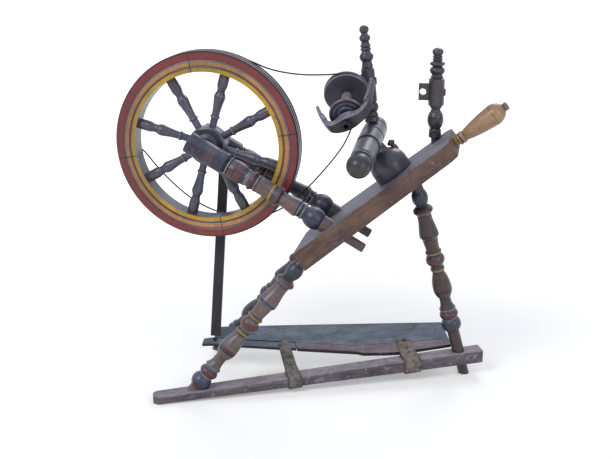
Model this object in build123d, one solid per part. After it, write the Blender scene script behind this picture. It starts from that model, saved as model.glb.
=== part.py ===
from build123d import *
import math
import os

# A treadle spinning wheel. Millimetres, Z up. It is drawn round the centre of the wheel's axle
# with +X towards the tension handle and +Y away from the spinner, then moved so that the
# middle of its box stands on the origin.

os.makedirs("parts", exist_ok=True)

# Fits
fit = 0.05
loose = 0.4
axle_play = 0.1
seat_gap = 0.3

# Wheel
axle_height = 612.0
wheel_r = 230.0
rim_width = 46.0
rim_depth = 49.5
rim_inner_r = wheel_r - rim_depth
rim_edge = 3.0
felloe_count = 4
felloe_joint_angle = 10.0
rim_line_in = (21.2, 36.0)
rim_line_width = 4.0
rim_line_depth = 1.2
groove_y = 9.0
groove_depth = 6.0
groove_top = 9.0
groove_floor = 5.5
spoke_count = 8
spoke_first_angle = -15.0
spoke_tenon_r = 7.0
spoke_tenon_rim = 14.0
spoke_tenon_hub = 12.0
spoke_drawn = 133.5
hub_r = 47.0
hub_width = 40.0
hub_step_r = 31.5
hub_half = 31.0

# Axle and crank
axle_r = 7.0
axle_front_y = -85.0
crank_throw = 24.0
crank_angle = -66.0
crank_arm_thick = 5.0
crank_arm_half = 8.0
crank_pin_r = 5.0
crank_pin_end_y = 95.5

# Wheel posts
post_y = 60.0
post_lean = 29.7
post_head_r = 26.5
post_head_top = 38.0
post_tenon_r = 11.5
post_end = 455.0
post_trim_r = 19.0

# Table
table_slope = 38.4
table_corner_x = 585.0
table_corner_z = 44.3
table_half = 100.0
table_length = 455.5
table_thick_high = 38.0
table_thick_low = 50.0
table_corner_cut = 16.0
table_line_in = 9.0
table_line_width = 2.0
table_line_depth = 1.0

# Legs, each from its top ball to its foot
leg_left_ball = (228.0, 72.0, -289.0)
leg_left_foot = (-31.0, 153.0, -612.0)
leg_right_ball = (517.0, 40.0, -119.0)
leg_right_foot = (642.0, 122.0, -612.0)
leg_socket_r = 10.0
leg_left_socket = 82.0
leg_right_socket = 64.0
leg_shank_r = 15.5
leg_tenon_r = 13.5

# Foot rail and the line the treadle turns about
rail_left = (-31.0, -160.0, -600.0)
rail_right = (627.0, 112.0, -552.0)
rail_half = 22.5
rail_before = 80.0
rail_after = 57.0
rail_left_top = -592.0
rail_right_top = -543.0
rail_right_bottom = -578.0
rail_edge = 6.0
rail_corner = 14.0

# Treadle, laid out along the rail (s) and away from it (d)
treadle_slope = 20.0
treadle_board_thick = 9.0
treadle_bar_thick = 9.0
treadle_strip_thick = 11.0
treadle_travel = 18.0
hook_s = 100.0
hook_d = 166.5
hook_below = 10.95
hook_hole_r = 5.8
strap_thick = 3.0
strap_lap = 4.0
strap_lap_gap = 0.5
strap_bend = 20.0
strap_left_s = (256.0, 290.0)
strap_right_s = (560.0, 603.0)
strap_nail_r = 1.6

# Footman
footman_half = 12.5
footman_thick = 8.0
footman_face_y = 99.6
footman_eye_r = 5.5
footman_straight = 84.0
footman_wire_r = 1.5
footman_ball_r = 7.0
footman_lift = 30.0
footman_ratio = -1.1379

# Mother-of-all
stem_u = -160.0
stem_y = 6.0
stem_r = 47.0
stem_straight = 22.0
stem_neck_r = 22.0
stem_peg_r = 13.0
stem_tongue_half = 8.0
stem_tongue_half_u = 13.0
slide_back = 12.0
slide_forward = 20.0
bar_cross_h = 100.0
bar_tilt = 3.8
bar_r = 30.0
knob_u = -125.0
knob_y = 16.0
knob_seat_h = 45.0
knob_r = 8.0
knob_shank_r = 4.0

# Rear maiden with its bearing
rear_maiden_y = 69.0
rear_maiden_lean = 6.3
maiden_tenon_r = 9.0
maiden_tenon_depth = 40.0
rear_block_r = 16.5
ear_thick = 12.0
ear_height = 34.0
ear_tongue_half = 8.0

# Front maiden with its bearing
front_maiden_x = 546.0
front_maiden_y = 70.0
front_shoulder_r = 13.0
front_block_r = 19.0
front_ear_z = 110.0
front_ear_out = 28.0
front_ear_half = 18.0
front_ear_height = 40.0
front_bore_r = 8.0

# Flyer: the middle of its rear bearing and the way its spindle points
flyer_bearing = (330.3, 69.0, 149.2)
flyer_front = (356.7, -119.0, 79.3)
flyer_arm_side = (0.88, 0.0, 0.47)
spindle_r = 5.0
orifice_r = 10.0
orifice_bore_r = 5.5
whorl_at = 47.4
whorl_r = 54.0
whorl_thick = 18.0
whorl_groove_r = 47.5
whorl_groove_top = 13.6
whorl_groove_floor = 7.0
bobbin_rear = 61.0
bobbin_front = 149.0
bobbin_flange_r = 40.0
bobbin_flange = 5.0
bobbin_core_r = 10.0
thread_r = 30.0
arm_half = 5.0

# Tension screw
screw_h = -21.0
screw_r = 7.0
screw_end_u = -196.0
handle_length = 147.0

# Drive band
band_r = 2.0
band_groove_clear = 0.6
band_wheel_y = 9.0
band_rear_y = 28.0


def unit(vector):
    return vector * (1.0 / vector.length)


def turned(profile):
    # Solid of revolution about Z from (z, r) points. Four numbers give an arc to (z, r) that
    # passes through a middle point (z, r).
    edges = []
    here = (0.0, 0.0, profile[0][0])
    for point in profile:
        there = (point[1], 0.0, point[0])
        if len(point) == 4:
            middle = (point[3], 0.0, point[2])
            edges.append(ThreePointArc(here, middle, there))
        elif (Vector(*there) - Vector(*here)).length > 1e-6:
            edges.append(Line(here, there))
        here = there
    axis_end = (0.0, 0.0, profile[-1][0])
    if profile[-1][1] > 1e-6:
        edges.append(Line(here, axis_end))
    edges.append(Line(axis_end, (0.0, 0.0, profile[0][0])))
    return revolve(make_face(Wire(edges)), Axis.Z, 360)


def rod(start, end, radius):
    # Straight round bar between two points
    start = Vector(*start)
    end = Vector(*end)
    length = (end - start).length
    bar = Cylinder(radius, length, align=(Align.CENTER, Align.CENTER, Align.MIN))
    return Plane(origin=start, z_dir=end - start) * bar


def single(shape):
    # The one solid of a result
    solids = shape.solids()
    return solids[0] if len(solids) == 1 else Compound(children=list(solids))


# Table frame: X up the slope, Y across, Z out of the top face
slope = math.radians(table_slope)
table_x = Vector(math.cos(slope), 0, math.sin(slope))
table_n = Vector(-math.sin(slope), 0, math.cos(slope))
table_plane = Plane(origin=(table_corner_x, 0, table_corner_z), x_dir=table_x, z_dir=table_n)


def on_table(u, y, h):
    return table_plane.from_local_coords(Vector(u, y, h))


def table_block():
    # The board without its holes
    side = Polyline((0, 0, 0), (-table_length, 0, 0), (-table_length, 0, -table_thick_low),
                    (0, 0, -table_thick_high), close=True)
    face = make_face(side)
    board = extrude(face, amount=table_half, dir=(0, 1, 0), both=True)
    corners = []
    for edge in board.edges():
        middle = edge.center()
        upright = abs(edge.tangent_at(0.5).Z) > 0.9
        if upright and middle.X > -1.0:
            corners.append(edge)
        if upright and middle.X < -table_length + 1.0 and middle.Y > 0:
            corners.append(edge)
    return chamfer(corners, table_corner_cut)


table_local = table_block()
table_solid = table_plane * table_local

# Posts run from the axle down the slope of their lean
lean = math.radians(post_lean)
post_dir = Vector(math.cos(lean), 0, -math.sin(lean))


def post_plane(y):
    return Plane(origin=(0, y, 0), x_dir=(0, 1, 0), z_dir=post_dir)


post_profile = [
    (-post_head_top, post_head_r - 4.0),
    (3.5 - post_head_top, post_head_r, 1.0 - post_head_top, post_head_r - 1.0),
    (66.0, post_head_r), (68.5, 23.0), (72.0, 20.0),
    (78.0, 20.0, 75.0, 22.8), (80.0, 22.0), (124.0, 21.5, 103.0, 25.6), (127.0, 22.6),
    (130.0, 21.0), (134.0, 19.5), (138.0, 22.5), (146.0, 22.5, 142.0, 24.6), (150.0, 20.0),
    (153.0, 19.5), (159.0, 20.5, 156.0, 22.0), (194.0, 20.6), (197.0, 22.0), (200.0, 20.0),
    (203.0, 21.0), (222.0, 19.0, 212.0, 26.5), (228.0, 17.0), (269.0, 23.0), (272.0, 20.0),
    (281.0, 18.0), (288.0, 18.0, 284.5, 20.5), (292.0, 18.0), (336.0, 20.0, 316.0, 27.0),
    (420.0, post_trim_r),
]


def wheel_post(y):
    body = post_plane(y) * turned(post_profile)
    body = body - table_solid
    kept = [s for s in body.solids() if s.center().Z > -190.0]
    body = kept[0]
    tenon = post_plane(y) * turned([(330.0, post_tenon_r), (post_end - 2.0, post_tenon_r),
                                    (post_end, post_tenon_r - 2.0)])
    body = body + tenon
    bore = Cylinder(axle_r + axle_play, 4 * post_head_r, rotation=(90, 0, 0))
    return body - Pos(0, y, 0) * bore


# Legs, measured down from the top ball
leg_upper = [
    (-90.0, 13.0), (-34.0, 13.0), (-18.0, 15.0), (18.0, 15.5, 0.0, 20.5), (22.0, 14.5),
    (28.0, 21.0), (42.0, 21.0, 35.0, 25.0), (46.0, 18.0), (64.0, 18.6), (99.0, 24.6),
    (102.0, 23.4), (105.0, 24.6), (112.0, 20.0), (140.0, 17.0), (146.0, 17.5),
    (156.0, 17.5, 151.0, 20.6), (159.0, 17.0), (187.0, 16.5, 172.0, 23.8), (193.0, 15.0),
    (206.0, 15.0, 200.0, 18.0), (212.0, 15.5), (259.0, 24.0, 232.0, 21.5),
    (283.0, 14.5, 274.0, 20.0), (300.0, 14.8), (312.0, 18.0), (320.0, 18.5, 316.0, 21.0),
    (324.0, 19.0), (342.0, 19.0, 333.0, 23.6), (346.0, 18.0), (379.0, 18.5, 362.0, 25.2),
    (384.0, leg_shank_r),
]


def leg_frame(ball, foot):
    ball = Vector(*ball)
    return Plane(origin=ball, z_dir=Vector(*foot) - ball)


# Foot rail frame: X along the rail, Y level and away from the spinner
rail_a = Vector(*rail_left)
rail_b = Vector(*rail_right)
rail_e = unit(rail_b - rail_a)
rail_w = unit(Vector(-rail_e.Y, rail_e.X, 0))
rail_span = (rail_b - rail_a).length
rail_level = unit(Vector(rail_e.X, rail_e.Y, 0))
rail_flat = Plane(origin=(rail_a.X, rail_a.Y, 0), x_dir=rail_level, z_dir=(0, 0, 1))


def rail_block():
    left = -rail_before
    right = rail_span + rail_after
    outline = Polyline((left, 0, -axle_height), (right, 0, rail_right_bottom),
                       (right, 0, rail_right_top), (left, 0, rail_left_top), close=True)
    block = extrude(make_face(outline), amount=rail_half, dir=(0, 1, 0), both=True)
    ends = [e for e in block.edges() if abs(e.tangent_at(0.5).Z) > 0.9 and e.center().X < 0]
    block = chamfer(ends, rail_corner)
    long_edges = []
    for edge in block.edges():
        along = abs(edge.tangent_at(0.5).X) > 0.98 and edge.length > 300
        if along and edge.center().Z > -0.5 * (axle_height - rail_right_bottom):
            long_edges.append(edge)
    block = fillet(long_edges, rail_edge)
    return rail_flat * block


rail_solid = rail_block()
floor_box = Pos(0, 0, -axle_height - 100.0) * Box(3000, 3000, 200)


def leg(ball, foot, socket, through_rail):
    frame = leg_frame(ball, foot)
    length = (Vector(*foot) - Vector(*ball)).length
    if through_rail:
        body = frame * turned(leg_upper + [(length + 40.0, leg_shank_r)])
        body = body - rail_solid
        body = body - table_solid
        centre = Vector(*ball)
        body = [s for s in body.solids() if s.bounding_box().min.Z < centre.Z
                and s.bounding_box().max.Z > centre.Z][0]
        reach = length + 40.0
        tenon = frame * turned([(384.0, leg_tenon_r), (reach, leg_tenon_r)])
        body = body + tenon
    else:
        body = frame * turned(leg_upper + [(length + 40.0, leg_shank_r)])
        body = body - table_solid
        centre = Vector(*ball)
        body = [s for s in body.solids() if s.bounding_box().min.Z < centre.Z
                and s.bounding_box().max.Z > centre.Z][0]
    body = body + frame * turned([(-socket, leg_socket_r), (-20.0, leg_socket_r)])
    return body - floor_box


def mirrored(point):
    return (point[0], -point[1], point[2])


leg_front_left = leg(mirrored(leg_left_ball), mirrored(leg_left_foot), leg_left_socket, True)
leg_rear_left = leg(leg_left_ball, leg_left_foot, leg_left_socket, False)
leg_right = leg(leg_right_ball, leg_right_foot, leg_right_socket, True)

foot_rail = rail_solid
for ball, foot in ((mirrored(leg_left_ball), mirrored(leg_left_foot)),
                   (leg_right_ball, leg_right_foot)):
    frame = leg_frame(ball, foot)
    hole = frame * turned([(384.0, leg_tenon_r + fit), (640.0, leg_tenon_r + fit)])
    foot_rail = foot_rail - hole

wheel_post_front = wheel_post(-post_y)
wheel_post_rear = wheel_post(post_y)

# Table with its holes
table = table_solid
for ball, foot, socket in ((mirrored(leg_left_ball), mirrored(leg_left_foot), leg_left_socket),
                           (leg_left_ball, leg_left_foot, leg_left_socket),
                           (leg_right_ball, leg_right_foot, leg_right_socket)):
    hole = leg_frame(ball, foot) * turned([(-socket - 1.0, leg_socket_r + fit),
                                           (0.0, leg_socket_r + fit)])
    table = table - hole
for y in (-post_y, post_y):
    hole = post_plane(y) * turned([(300.0, post_tenon_r + fit), (480.0, post_tenon_r + fit)])
    table = table - hole
slot_back = stem_u - stem_tongue_half_u - slide_back - 1.0
slot_front = stem_u + stem_tongue_half_u + slide_forward + 1.0
slot = Pos((slot_back + slot_front) / 2, stem_y, -25.0) * Box(
    slot_front - slot_back, 2 * (stem_tongue_half + loose), 80.0)
table = table - table_plane * slot
screw_bore = rod(on_table(40.0, stem_y, screw_h), on_table(screw_end_u - 2.0, stem_y, screw_h),
                 screw_r + loose)
table = table - screw_bore
maiden_hole_r = maiden_tenon_r + loose
table = table - Pos(front_maiden_x, front_maiden_y, 0) * Cylinder(maiden_hole_r, 200)
line_depth = table_line_depth
for side in (-1, 1):
    line = Pos(-table_length / 2, side * (table_half - table_line_in), 0) * Box(
        table_length - 2 * table_corner_cut, table_line_width, 2 * line_depth)
    table = table - table_plane * line

# Wheel: angles run up from +X as seen by the spinner


def around(angle):
    return Location((0, 0, 0), (0, -angle, 0))


def rim_section():
    half = rim_width / 2
    points = [(rim_inner_r, -half)]
    for side in (-1, 1):
        stations = []
        for inward in sorted(rim_line_in, reverse=True):
            middle = wheel_r - inward
            stations += [(middle - rim_line_width / 2, half),
                         (middle, half - rim_line_depth),
                         (middle + rim_line_width / 2, half)]
        side_points = [(r, side * y) for r, y in stations]
        if side == -1:
            points += side_points
            points += [(wheel_r - rim_edge, -half), (wheel_r, -half + rim_edge)]
            for middle in (-groove_y, groove_y):
                points += [(wheel_r, middle - groove_top / 2),
                           (wheel_r - groove_depth, middle - groove_floor / 2),
                           (wheel_r - groove_depth, middle + groove_floor / 2),
                           (wheel_r, middle + groove_top / 2)]
            points += [(wheel_r, half - rim_edge), (wheel_r - rim_edge, half)]
        else:
            points += list(reversed(side_points))
    points.append((rim_inner_r, half))
    return make_face(Polyline(*[(r, y, 0) for r, y in points], close=True))


hub_profile = [
    (-hub_half, 22.0), (-hub_half + 3.0, hub_step_r - 2.0), (-hub_width / 2 - 4.0, hub_step_r),
    (-hub_width / 2 - 3.0, hub_step_r), (-hub_width / 2 - 1.0, 42.0), (-hub_width / 2 + 2.0, hub_r),
    (hub_width / 2 - 2.0, hub_r), (hub_width / 2 + 1.0, 42.0), (hub_width / 2 + 3.0, hub_step_r),
    (hub_width / 2 + 4.0, hub_step_r), (hub_half - 3.0, hub_step_r - 2.0), (hub_half, 22.0),
]
hub = Plane(origin=(0, 0, 0), x_dir=(1, 0, 0), z_dir=(0, 1, 0)) * turned(hub_profile)
hub = hub - Cylinder(axle_r + fit, 200, rotation=(90, 0, 0))

spoke_profile = [
    (hub_r - 4.0, 9.0), (68.0, 9.3), (76.0, 9.3, 72.0, 12.0), (80.0, 9.5),
    (118.0, 14.0, 98.0, 11.0), (133.0, 10.5, 127.0, 13.3), (138.0, 10.0), (142.0, 10.5),
    (158.0, 13.0, 149.0, 12.6), (170.0, 13.0), (182.5, 12.0),
]
spoke_stretch = (rim_inner_r - hub_r) / spoke_drawn


def stretched(marks, start, stretch):
    # Moves a profile's marks out from where they start, each with its radius kept
    result = []
    for mark in marks:
        moved = [start + (mark[0] - start) * stretch, mark[1]]
        if len(mark) == 4:
            moved += [start + (mark[2] - start) * stretch, mark[3]]
        result.append(tuple(moved))
    return result


spoke_shape = turned(stretched(spoke_profile, hub_r, spoke_stretch))
spoke_body = Plane(origin=(0, 0, 0), z_dir=(1, 0, 0)) * spoke_shape
inner_disc = Cylinder(rim_inner_r, 100, rotation=(90, 0, 0))
spoke_body = (spoke_body & inner_disc) - Cylinder(hub_r, 100, rotation=(90, 0, 0))
spoke_one = spoke_body + rod((hub_r - spoke_tenon_hub, 0, 0),
                             (rim_inner_r + spoke_tenon_rim, 0, 0), spoke_tenon_r)
spoke_hole = rod((hub_r - spoke_tenon_hub, 0, 0), (rim_inner_r + spoke_tenon_rim, 0, 0),
                 spoke_tenon_r + fit)
spokes = []
felloe_full = []
section = rim_section()
for index in range(felloe_count):
    start = felloe_joint_angle + index * 360.0 / felloe_count
    sector = revolve(section, Axis.Y, -360.0 / felloe_count)
    felloe_full.append(around(start) * sector)
for index in range(spoke_count):
    angle = spoke_first_angle + index * 360.0 / spoke_count
    spokes.append(around(angle) * spoke_one)
    cut = around(angle) * spoke_hole
    hub = hub - cut
    for number in range(felloe_count):
        start = felloe_joint_angle + number * 360.0 / felloe_count
        if 0 < (angle - start) % 360.0 < 360.0 / felloe_count:
            felloe_full[number] = felloe_full[number] - cut

crank_x = crank_throw * math.cos(math.radians(crank_angle))
crank_z = crank_throw * math.sin(math.radians(crank_angle))
crank_start_y = post_y + post_head_r + 1.0
axle = rod((0, axle_front_y, 0), (0, crank_start_y + crank_arm_thick, 0), axle_r)
arm = Box(crank_throw, crank_arm_thick, 2 * crank_arm_half)
arm = Pos(crank_throw / 2, 0, 0) * arm
arm = arm + Cylinder(crank_arm_half, crank_arm_thick, rotation=(90, 0, 0))
arm = arm + Pos(crank_throw, 0, 0) * Cylinder(crank_arm_half, crank_arm_thick, rotation=(90, 0, 0))
arm = Pos(0, crank_start_y + crank_arm_thick / 2, 0) * (around(crank_angle) * arm)
pin = rod((crank_x, crank_start_y, crank_z), (crank_x, crank_pin_end_y, crank_z), crank_pin_r)
axle_crank = axle + arm + pin

# Two pins in each post head keep the axle down


def head_pin(y):
    pins = []
    for side in (-1, 1):
        y_face = y + (-post_head_r if y < 0 else post_head_r)
        start = Vector(0, y_face * 0.86 + y * 0.14, 0) - post_dir * 24.0
        start = start + Vector(post_dir.Z, 0, -post_dir.X) * (side * 7.0)
        inward = 1.0 if y < 0 else -1.0
        pins.append(rod(start + Vector(0, inward * 8.0, 0), start + Vector(0, -inward * 7.0, 0), 1.6))
    return pins


axle_pins = head_pin(-post_y)
for nail in axle_pins:
    wheel_post_front = wheel_post_front - nail

# Treadle frame: X along the rail, Y away from it, Z out of the board
tilt = math.radians(treadle_slope)
rail_up = rail_e.cross(rail_w)
treadle_d = rail_w * math.cos(tilt) + rail_up * math.sin(tilt)
treadle_plane = Plane(origin=rail_a, x_dir=rail_e, z_dir=rail_e.cross(treadle_d))


def plate(points, low, high):
    outline = make_face(Polyline(*[(s, d, 0) for s, d in points], close=True))
    flat = extrude(outline, amount=high - low, dir=(0, 0, 1))
    return Pos(0, 0, low) * flat


board_points = [(101, 185), (114, 222), (330, 184), (704, 115), (703, 50), (455, 76), (256, 136),
                (168, 162)]
bar_points = [(64, 166), (72, 185), (101, 184.5), (168, 158), (256, 132), (302, 120), (302, 98),
              (256, 111), (168, 138), (84, 163)]
strip_points = [(304, 119.5), (455, 74), (703, 48), (702, 28), (560, 28), (520, 34), (469, 44),
                (455, 52), (304, 97)]
board_half = treadle_board_thick / 2
bar_half = treadle_bar_thick / 2
strip_half = treadle_strip_thick / 2
hook_point = treadle_plane.from_local_coords(Vector(hook_s, hook_d, -hook_below))
# The hole slants half way between the wire's two ends of travel
hole_turn = math.radians(-0.5 * footman_ratio * treadle_travel + treadle_slope)
hole_way = treadle_plane.z_dir * math.cos(hole_turn) + treadle_d * math.sin(hole_turn)
hook_hole = rod(hook_point - hole_way * 2.0, hook_point + hole_way * 60.0, hook_hole_r)
treadle_bar = treadle_plane * plate(bar_points, -bar_half, bar_half) - hook_hole
treadle_strip = treadle_plane * plate(strip_points, -strip_half, strip_half)
treadle_board = treadle_plane * plate(board_points, -board_half, board_half)
treadle_board = treadle_board - treadle_bar - treadle_strip - hook_hole
treadle_bar = treadle_bar - treadle_strip


def rail_height(s, top):
    # Height of the rail's top or bottom face at a place along the rail
    run = (s * rail_level.dot(rail_e) + rail_before) / (rail_span + rail_after + rail_before)
    if top:
        return rail_left_top + (rail_right_top - rail_left_top) * run
    return -axle_height + (rail_right_bottom + axle_height) * run


def strap_loop(s_range):
    # The part of a strap that goes round the rail, close on its slanting faces
    level = rail_level.dot(rail_e)
    low = [rail_height(end, False) - strap_thick for end in s_range]
    high = [rail_height(end, True) + strap_thick for end in s_range]
    left, right = [end * level for end in s_range]
    outline = Polyline((left, 0, low[0]), (right, 0, low[1]), (right, 0, high[1]),
                       (left, 0, high[0]), close=True)
    loop = extrude(make_face(outline), amount=rail_half + strap_thick, dir=(0, 1, 0), both=True)
    tops = []
    for edge in loop.edges():
        if abs(edge.tangent_at(0.5).X) > 0.9 and edge.center().Z > (low[0] + high[0]) / 2:
            tops.append(edge)
    loop = fillet(tops, rail_edge + strap_thick)
    return rail_flat * loop - rail_solid


def strap_tongue(s_range, reach, near_d, lift, bend):
    # The part that is nailed on the treadle and laps over the loop's top
    centre = rail_a + rail_e * ((s_range[0] + s_range[1]) / 2)
    tops = [rail_height(end, True) - rail_a.Z - rail_e.Z * end for end in s_range]
    top = max(tops) + strap_thick + strap_lap_gap
    c, s = math.cos(tilt), math.sin(tilt)
    t = strap_thick
    far_in = (c * reach - s * lift, s * reach + c * lift)
    near_in = (c * near_d - s * lift, s * near_d + c * lift)
    near_out = (near_in[0] - s * t, near_in[1] + c * t)
    far_out = (far_in[0] - s * t, far_in[1] + c * t)
    outline = [far_in, near_in, (bend, top), (strap_lap, top), (strap_lap, top + t),
               (bend - 0.25 * t, top + t), near_out, far_out]
    face_plane = Plane(origin=centre, x_dir=rail_w, z_dir=rail_e)
    face = make_face(Polyline(*[(x, z, 0) for x, z in outline], close=True))
    width = s_range[1] - s_range[0]
    return face_plane * extrude(face, amount=width / 2, both=True)


strap_left_loop = strap_loop(strap_left_s)
strap_right_loop = strap_loop(strap_right_s)
strap_left = strap_tongue(strap_left_s, 128.0, 99.0, bar_half, strap_bend)
strap_right = strap_tongue(strap_right_s, 92.0, 27.2, strip_half, strap_bend - 3.0)
nail_s = (strap_right_s[0] + strap_right_s[1]) / 2
nail_low = treadle_plane.from_local_coords(Vector(nail_s, 62.0, treadle_strip_thick / 2 - 4.0))
nail_high = treadle_plane.from_local_coords(Vector(nail_s, 62.0, treadle_strip_thick / 2 + 12.0))
nail_tip = treadle_plane.from_local_coords(Vector(nail_s, 46.0, treadle_strip_thick / 2 + 17.0))
strap_nail = rod(nail_low, nail_high, strap_nail_r) + Pos(*nail_high) * Sphere(strap_nail_r)
strap_nail = strap_nail + rod(nail_high, nail_tip, strap_nail_r)
strap_right = strap_right - rod(nail_low, nail_high, strap_nail_r)
treadle_strip = treadle_strip - rod(nail_low, nail_high, strap_nail_r)
treadle_board = treadle_board - rod(nail_low, nail_high, strap_nail_r)

# Footman: straight beside the crank, then leaning forward to the treadle's tip
foot_bottom = Vector(hook_point.X, hook_point.Y, hook_point.Z + footman_lift)
foot_top = Vector(crank_x, footman_face_y + footman_thick / 2, crank_z)
foot_drop = foot_top.Z - foot_bottom.Z
half_t = footman_thick / 2
side_face = Polyline(
    (0, foot_bottom.Y - half_t, 0), (0, foot_bottom.Y + half_t, 0),
    (0, foot_top.Y + half_t, foot_drop - footman_straight),
    (0, foot_top.Y + half_t, foot_drop + footman_half),
    (0, foot_top.Y - half_t, foot_drop + footman_half),
    (0, foot_top.Y - half_t, foot_drop - footman_straight), close=True)
footman = extrude(make_face(side_face), amount=footman_half, dir=(1, 0, 0), both=True)
outline = Pos(0, 0, foot_drop / 2) * Box(2 * footman_half, 400, foot_drop)
outline = outline + Pos(0, 0, foot_drop) * Cylinder(footman_half, 400, rotation=(90, 0, 0))
footman = footman & outline
footman = footman - Pos(0, 0, foot_drop) * Cylinder(footman_eye_r, 400, rotation=(90, 0, 0))
foot_lean = math.degrees(math.atan2(foot_top.X - foot_bottom.X, foot_drop))
footman = Location((foot_bottom.X, 0, foot_bottom.Z), (0, foot_lean, 0)) * footman
wire_top = Vector(foot_bottom.X, foot_bottom.Y, foot_bottom.Z + 22.0)
footman_hook = rod(hook_point, wire_top, footman_wire_r) + Pos(*hook_point) * Sphere(footman_ball_r)
footman = footman - rod(hook_point, wire_top, footman_wire_r + fit)

# Mother-of-all: the stem in the table frame, then the bar laid across it
stem_profile = [
    (seat_gap, stem_r - 2.0), (2.0 + seat_gap, stem_r), (stem_straight, stem_r),
    (62.0, stem_neck_r + 2.0, 50.0, 38.5), (66.0, stem_neck_r), (bar_cross_h, stem_neck_r),
]
stem_local = Pos(stem_u, stem_y, 0) * turned(stem_profile)
cross = on_table(stem_u, stem_y, bar_cross_h)
bar_lean = math.radians(bar_tilt)
bar_dir = Vector(0, math.cos(bar_lean), math.sin(bar_lean))
bar_plane = Plane(origin=cross, x_dir=(1, 0, 0), z_dir=bar_dir)


def bar_at(y):
    # Place along the bar for a distance across the wheel
    return (y - stem_y) / math.cos(bar_lean)


bar_marks = [
    (-228.0, 0.0), (-200.0, 28.0, -219.8, 19.8), (-176.0, 21.0, -185.0, 26.2), (-172.0, 21.0),
    (-170.0, 26.5), (-165.0, 26.5), (-163.0, 22.0), (-158.0, 22.0), (-154.0, 27.0),
    (-64.0, 29.0), (-60.0, 25.5), (-48.0, 25.5), (-44.0, 29.5), (22.0, bar_r), (24.0, 28.0),
    (28.0, 28.0), (30.0, bar_r), (94.0, 29.5), (96.0, 26.5), (100.0, 26.5), (103.0, 29.0),
    (130.0, 27.5), (146.0, 14.0, 142.0, 22.5),
]
bar_profile = []
for mark in bar_marks:
    if len(mark) == 4:
        bar_profile.append((bar_at(mark[0]), mark[1], bar_at(mark[2]), mark[3]))
    else:
        bar_profile.append((bar_at(mark[0]), mark[1]))
mother_bar = bar_plane * turned(bar_profile)
stem = table_plane * stem_local
stem = stem - mother_bar
stem = [s for s in stem.solids() if s.volume > 1000.0][0]
peg = table_plane * (Pos(stem_u, stem_y, 0) * turned([(40.0, stem_peg_r),
                                                      (bar_cross_h + 8.0, stem_peg_r)]))
stem = stem + peg
tongue_low = -table_thick_high - 6.0
tongue = Pos(stem_u, stem_y, (tongue_low + 10.0) / 2) * Box(
    2 * stem_tongue_half_u, 2 * stem_tongue_half, 10.0 - tongue_low)
stem = stem + table_plane * tongue
stem = stem - rod(on_table(40.0, stem_y, screw_h), on_table(-300.0, stem_y, screw_h),
                  screw_r + loose)
peg_hole = table_plane * (Pos(stem_u, stem_y, 0) * turned([(40.0, stem_peg_r + fit),
                                                           (bar_cross_h + 9.0, stem_peg_r + fit)]))
mother_bar = mother_bar - peg_hole
knob_shank = knob_seat_h - 14.0
stem_knob = table_plane * (Pos(knob_u, knob_y, 0) * turned([
    (knob_shank, knob_shank_r), (knob_seat_h, knob_shank_r), (knob_seat_h, knob_r),
    (knob_seat_h + 11.0, knob_r), (knob_seat_h + 13.0, 6.0), (knob_seat_h + 16.0, 6.0),
    (knob_seat_h + 26.0, 6.0, knob_seat_h + 21.0, 10.0),
    (knob_seat_h + 29.0, 1.2)]))
knob_pocket = table_plane * (Pos(knob_u, knob_y, 0) * turned([
    (knob_shank - 1.0, knob_shank_r + fit), (knob_seat_h, knob_shank_r + fit),
    (knob_seat_h, knob_r + 2 * fit), (knob_seat_h + 30.0, knob_r + 2 * fit)]))
mother_stem = stem - knob_pocket

# Rear maiden, standing on the bar
bar_axis_point = cross + bar_dir * bar_at(rear_maiden_y)
m_lean = math.radians(rear_maiden_lean)
maiden_dir = Vector(-math.sin(m_lean), 0, math.cos(m_lean))
rear_plane = Plane(origin=bar_axis_point, x_dir=(math.cos(m_lean), 0, math.sin(m_lean)),
                   z_dir=maiden_dir)
rear_foot = bar_r + seat_gap


def lifted(profile, base):
    result = []
    for mark in profile:
        if len(mark) == 4:
            result.append((mark[0] + base, mark[1], mark[2] + base, mark[3]))
        else:
            result.append((mark[0] + base, mark[1]))
    return result


rear_marks = [
    (0.0, 17.0), (3.0, 18.5), (12.0, 17.0), (14.0, 14.0), (20.0, 14.5, 17.0, 16.8), (24.0, 13.5),
    (47.0, 13.5, 36.0, 18.5), (50.0, rear_block_r), (127.0, rear_block_r), (130.0, 13.5),
    (133.0, 14.0), (143.0, 12.0), (147.0, 12.5), (166.0, 12.0, 157.0, 17.0), (170.0, 10.5),
    (175.0, 13.5), (179.0, 11.0), (183.0, 13.5), (187.0, 10.5), (193.0, 9.0),
    (209.0, 8.5, 201.0, 13.5), (213.0, 8.0), (230.0, 6.0, 222.0, 11.5), (232.0, 0.0),
]
rear_maiden = rear_plane * turned(lifted(rear_marks, rear_foot))
rear_maiden = rear_maiden + rear_plane * turned([(rear_foot - maiden_tenon_depth, maiden_tenon_r),
                                                 (rear_foot + 10.0, maiden_tenon_r)])
mother_bar = mother_bar - rear_plane * turned([
    (rear_foot - maiden_tenon_depth - 1.0, maiden_tenon_r + loose),
    (rear_foot + 10.0, maiden_tenon_r + loose)])
seat_flat = rear_plane * (Pos(0, 0, rear_foot - seat_gap + 20.0) * Box(60, 60, 40))
mother_bar = mother_bar - seat_flat

# Flyer frame: Z from the rear bearing to the front, X across the arms
f_back = Vector(*flyer_bearing)
f_front = Vector(*flyer_front)
flyer_z = unit(f_front - f_back)
flyer_length = (f_front - f_back).length
side_hint = Vector(*flyer_arm_side)
flyer_x = unit(side_hint - flyer_z * side_hint.dot(flyer_z))
flyer_plane = Plane(origin=f_back, x_dir=flyer_x, z_dir=flyer_z)

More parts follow.
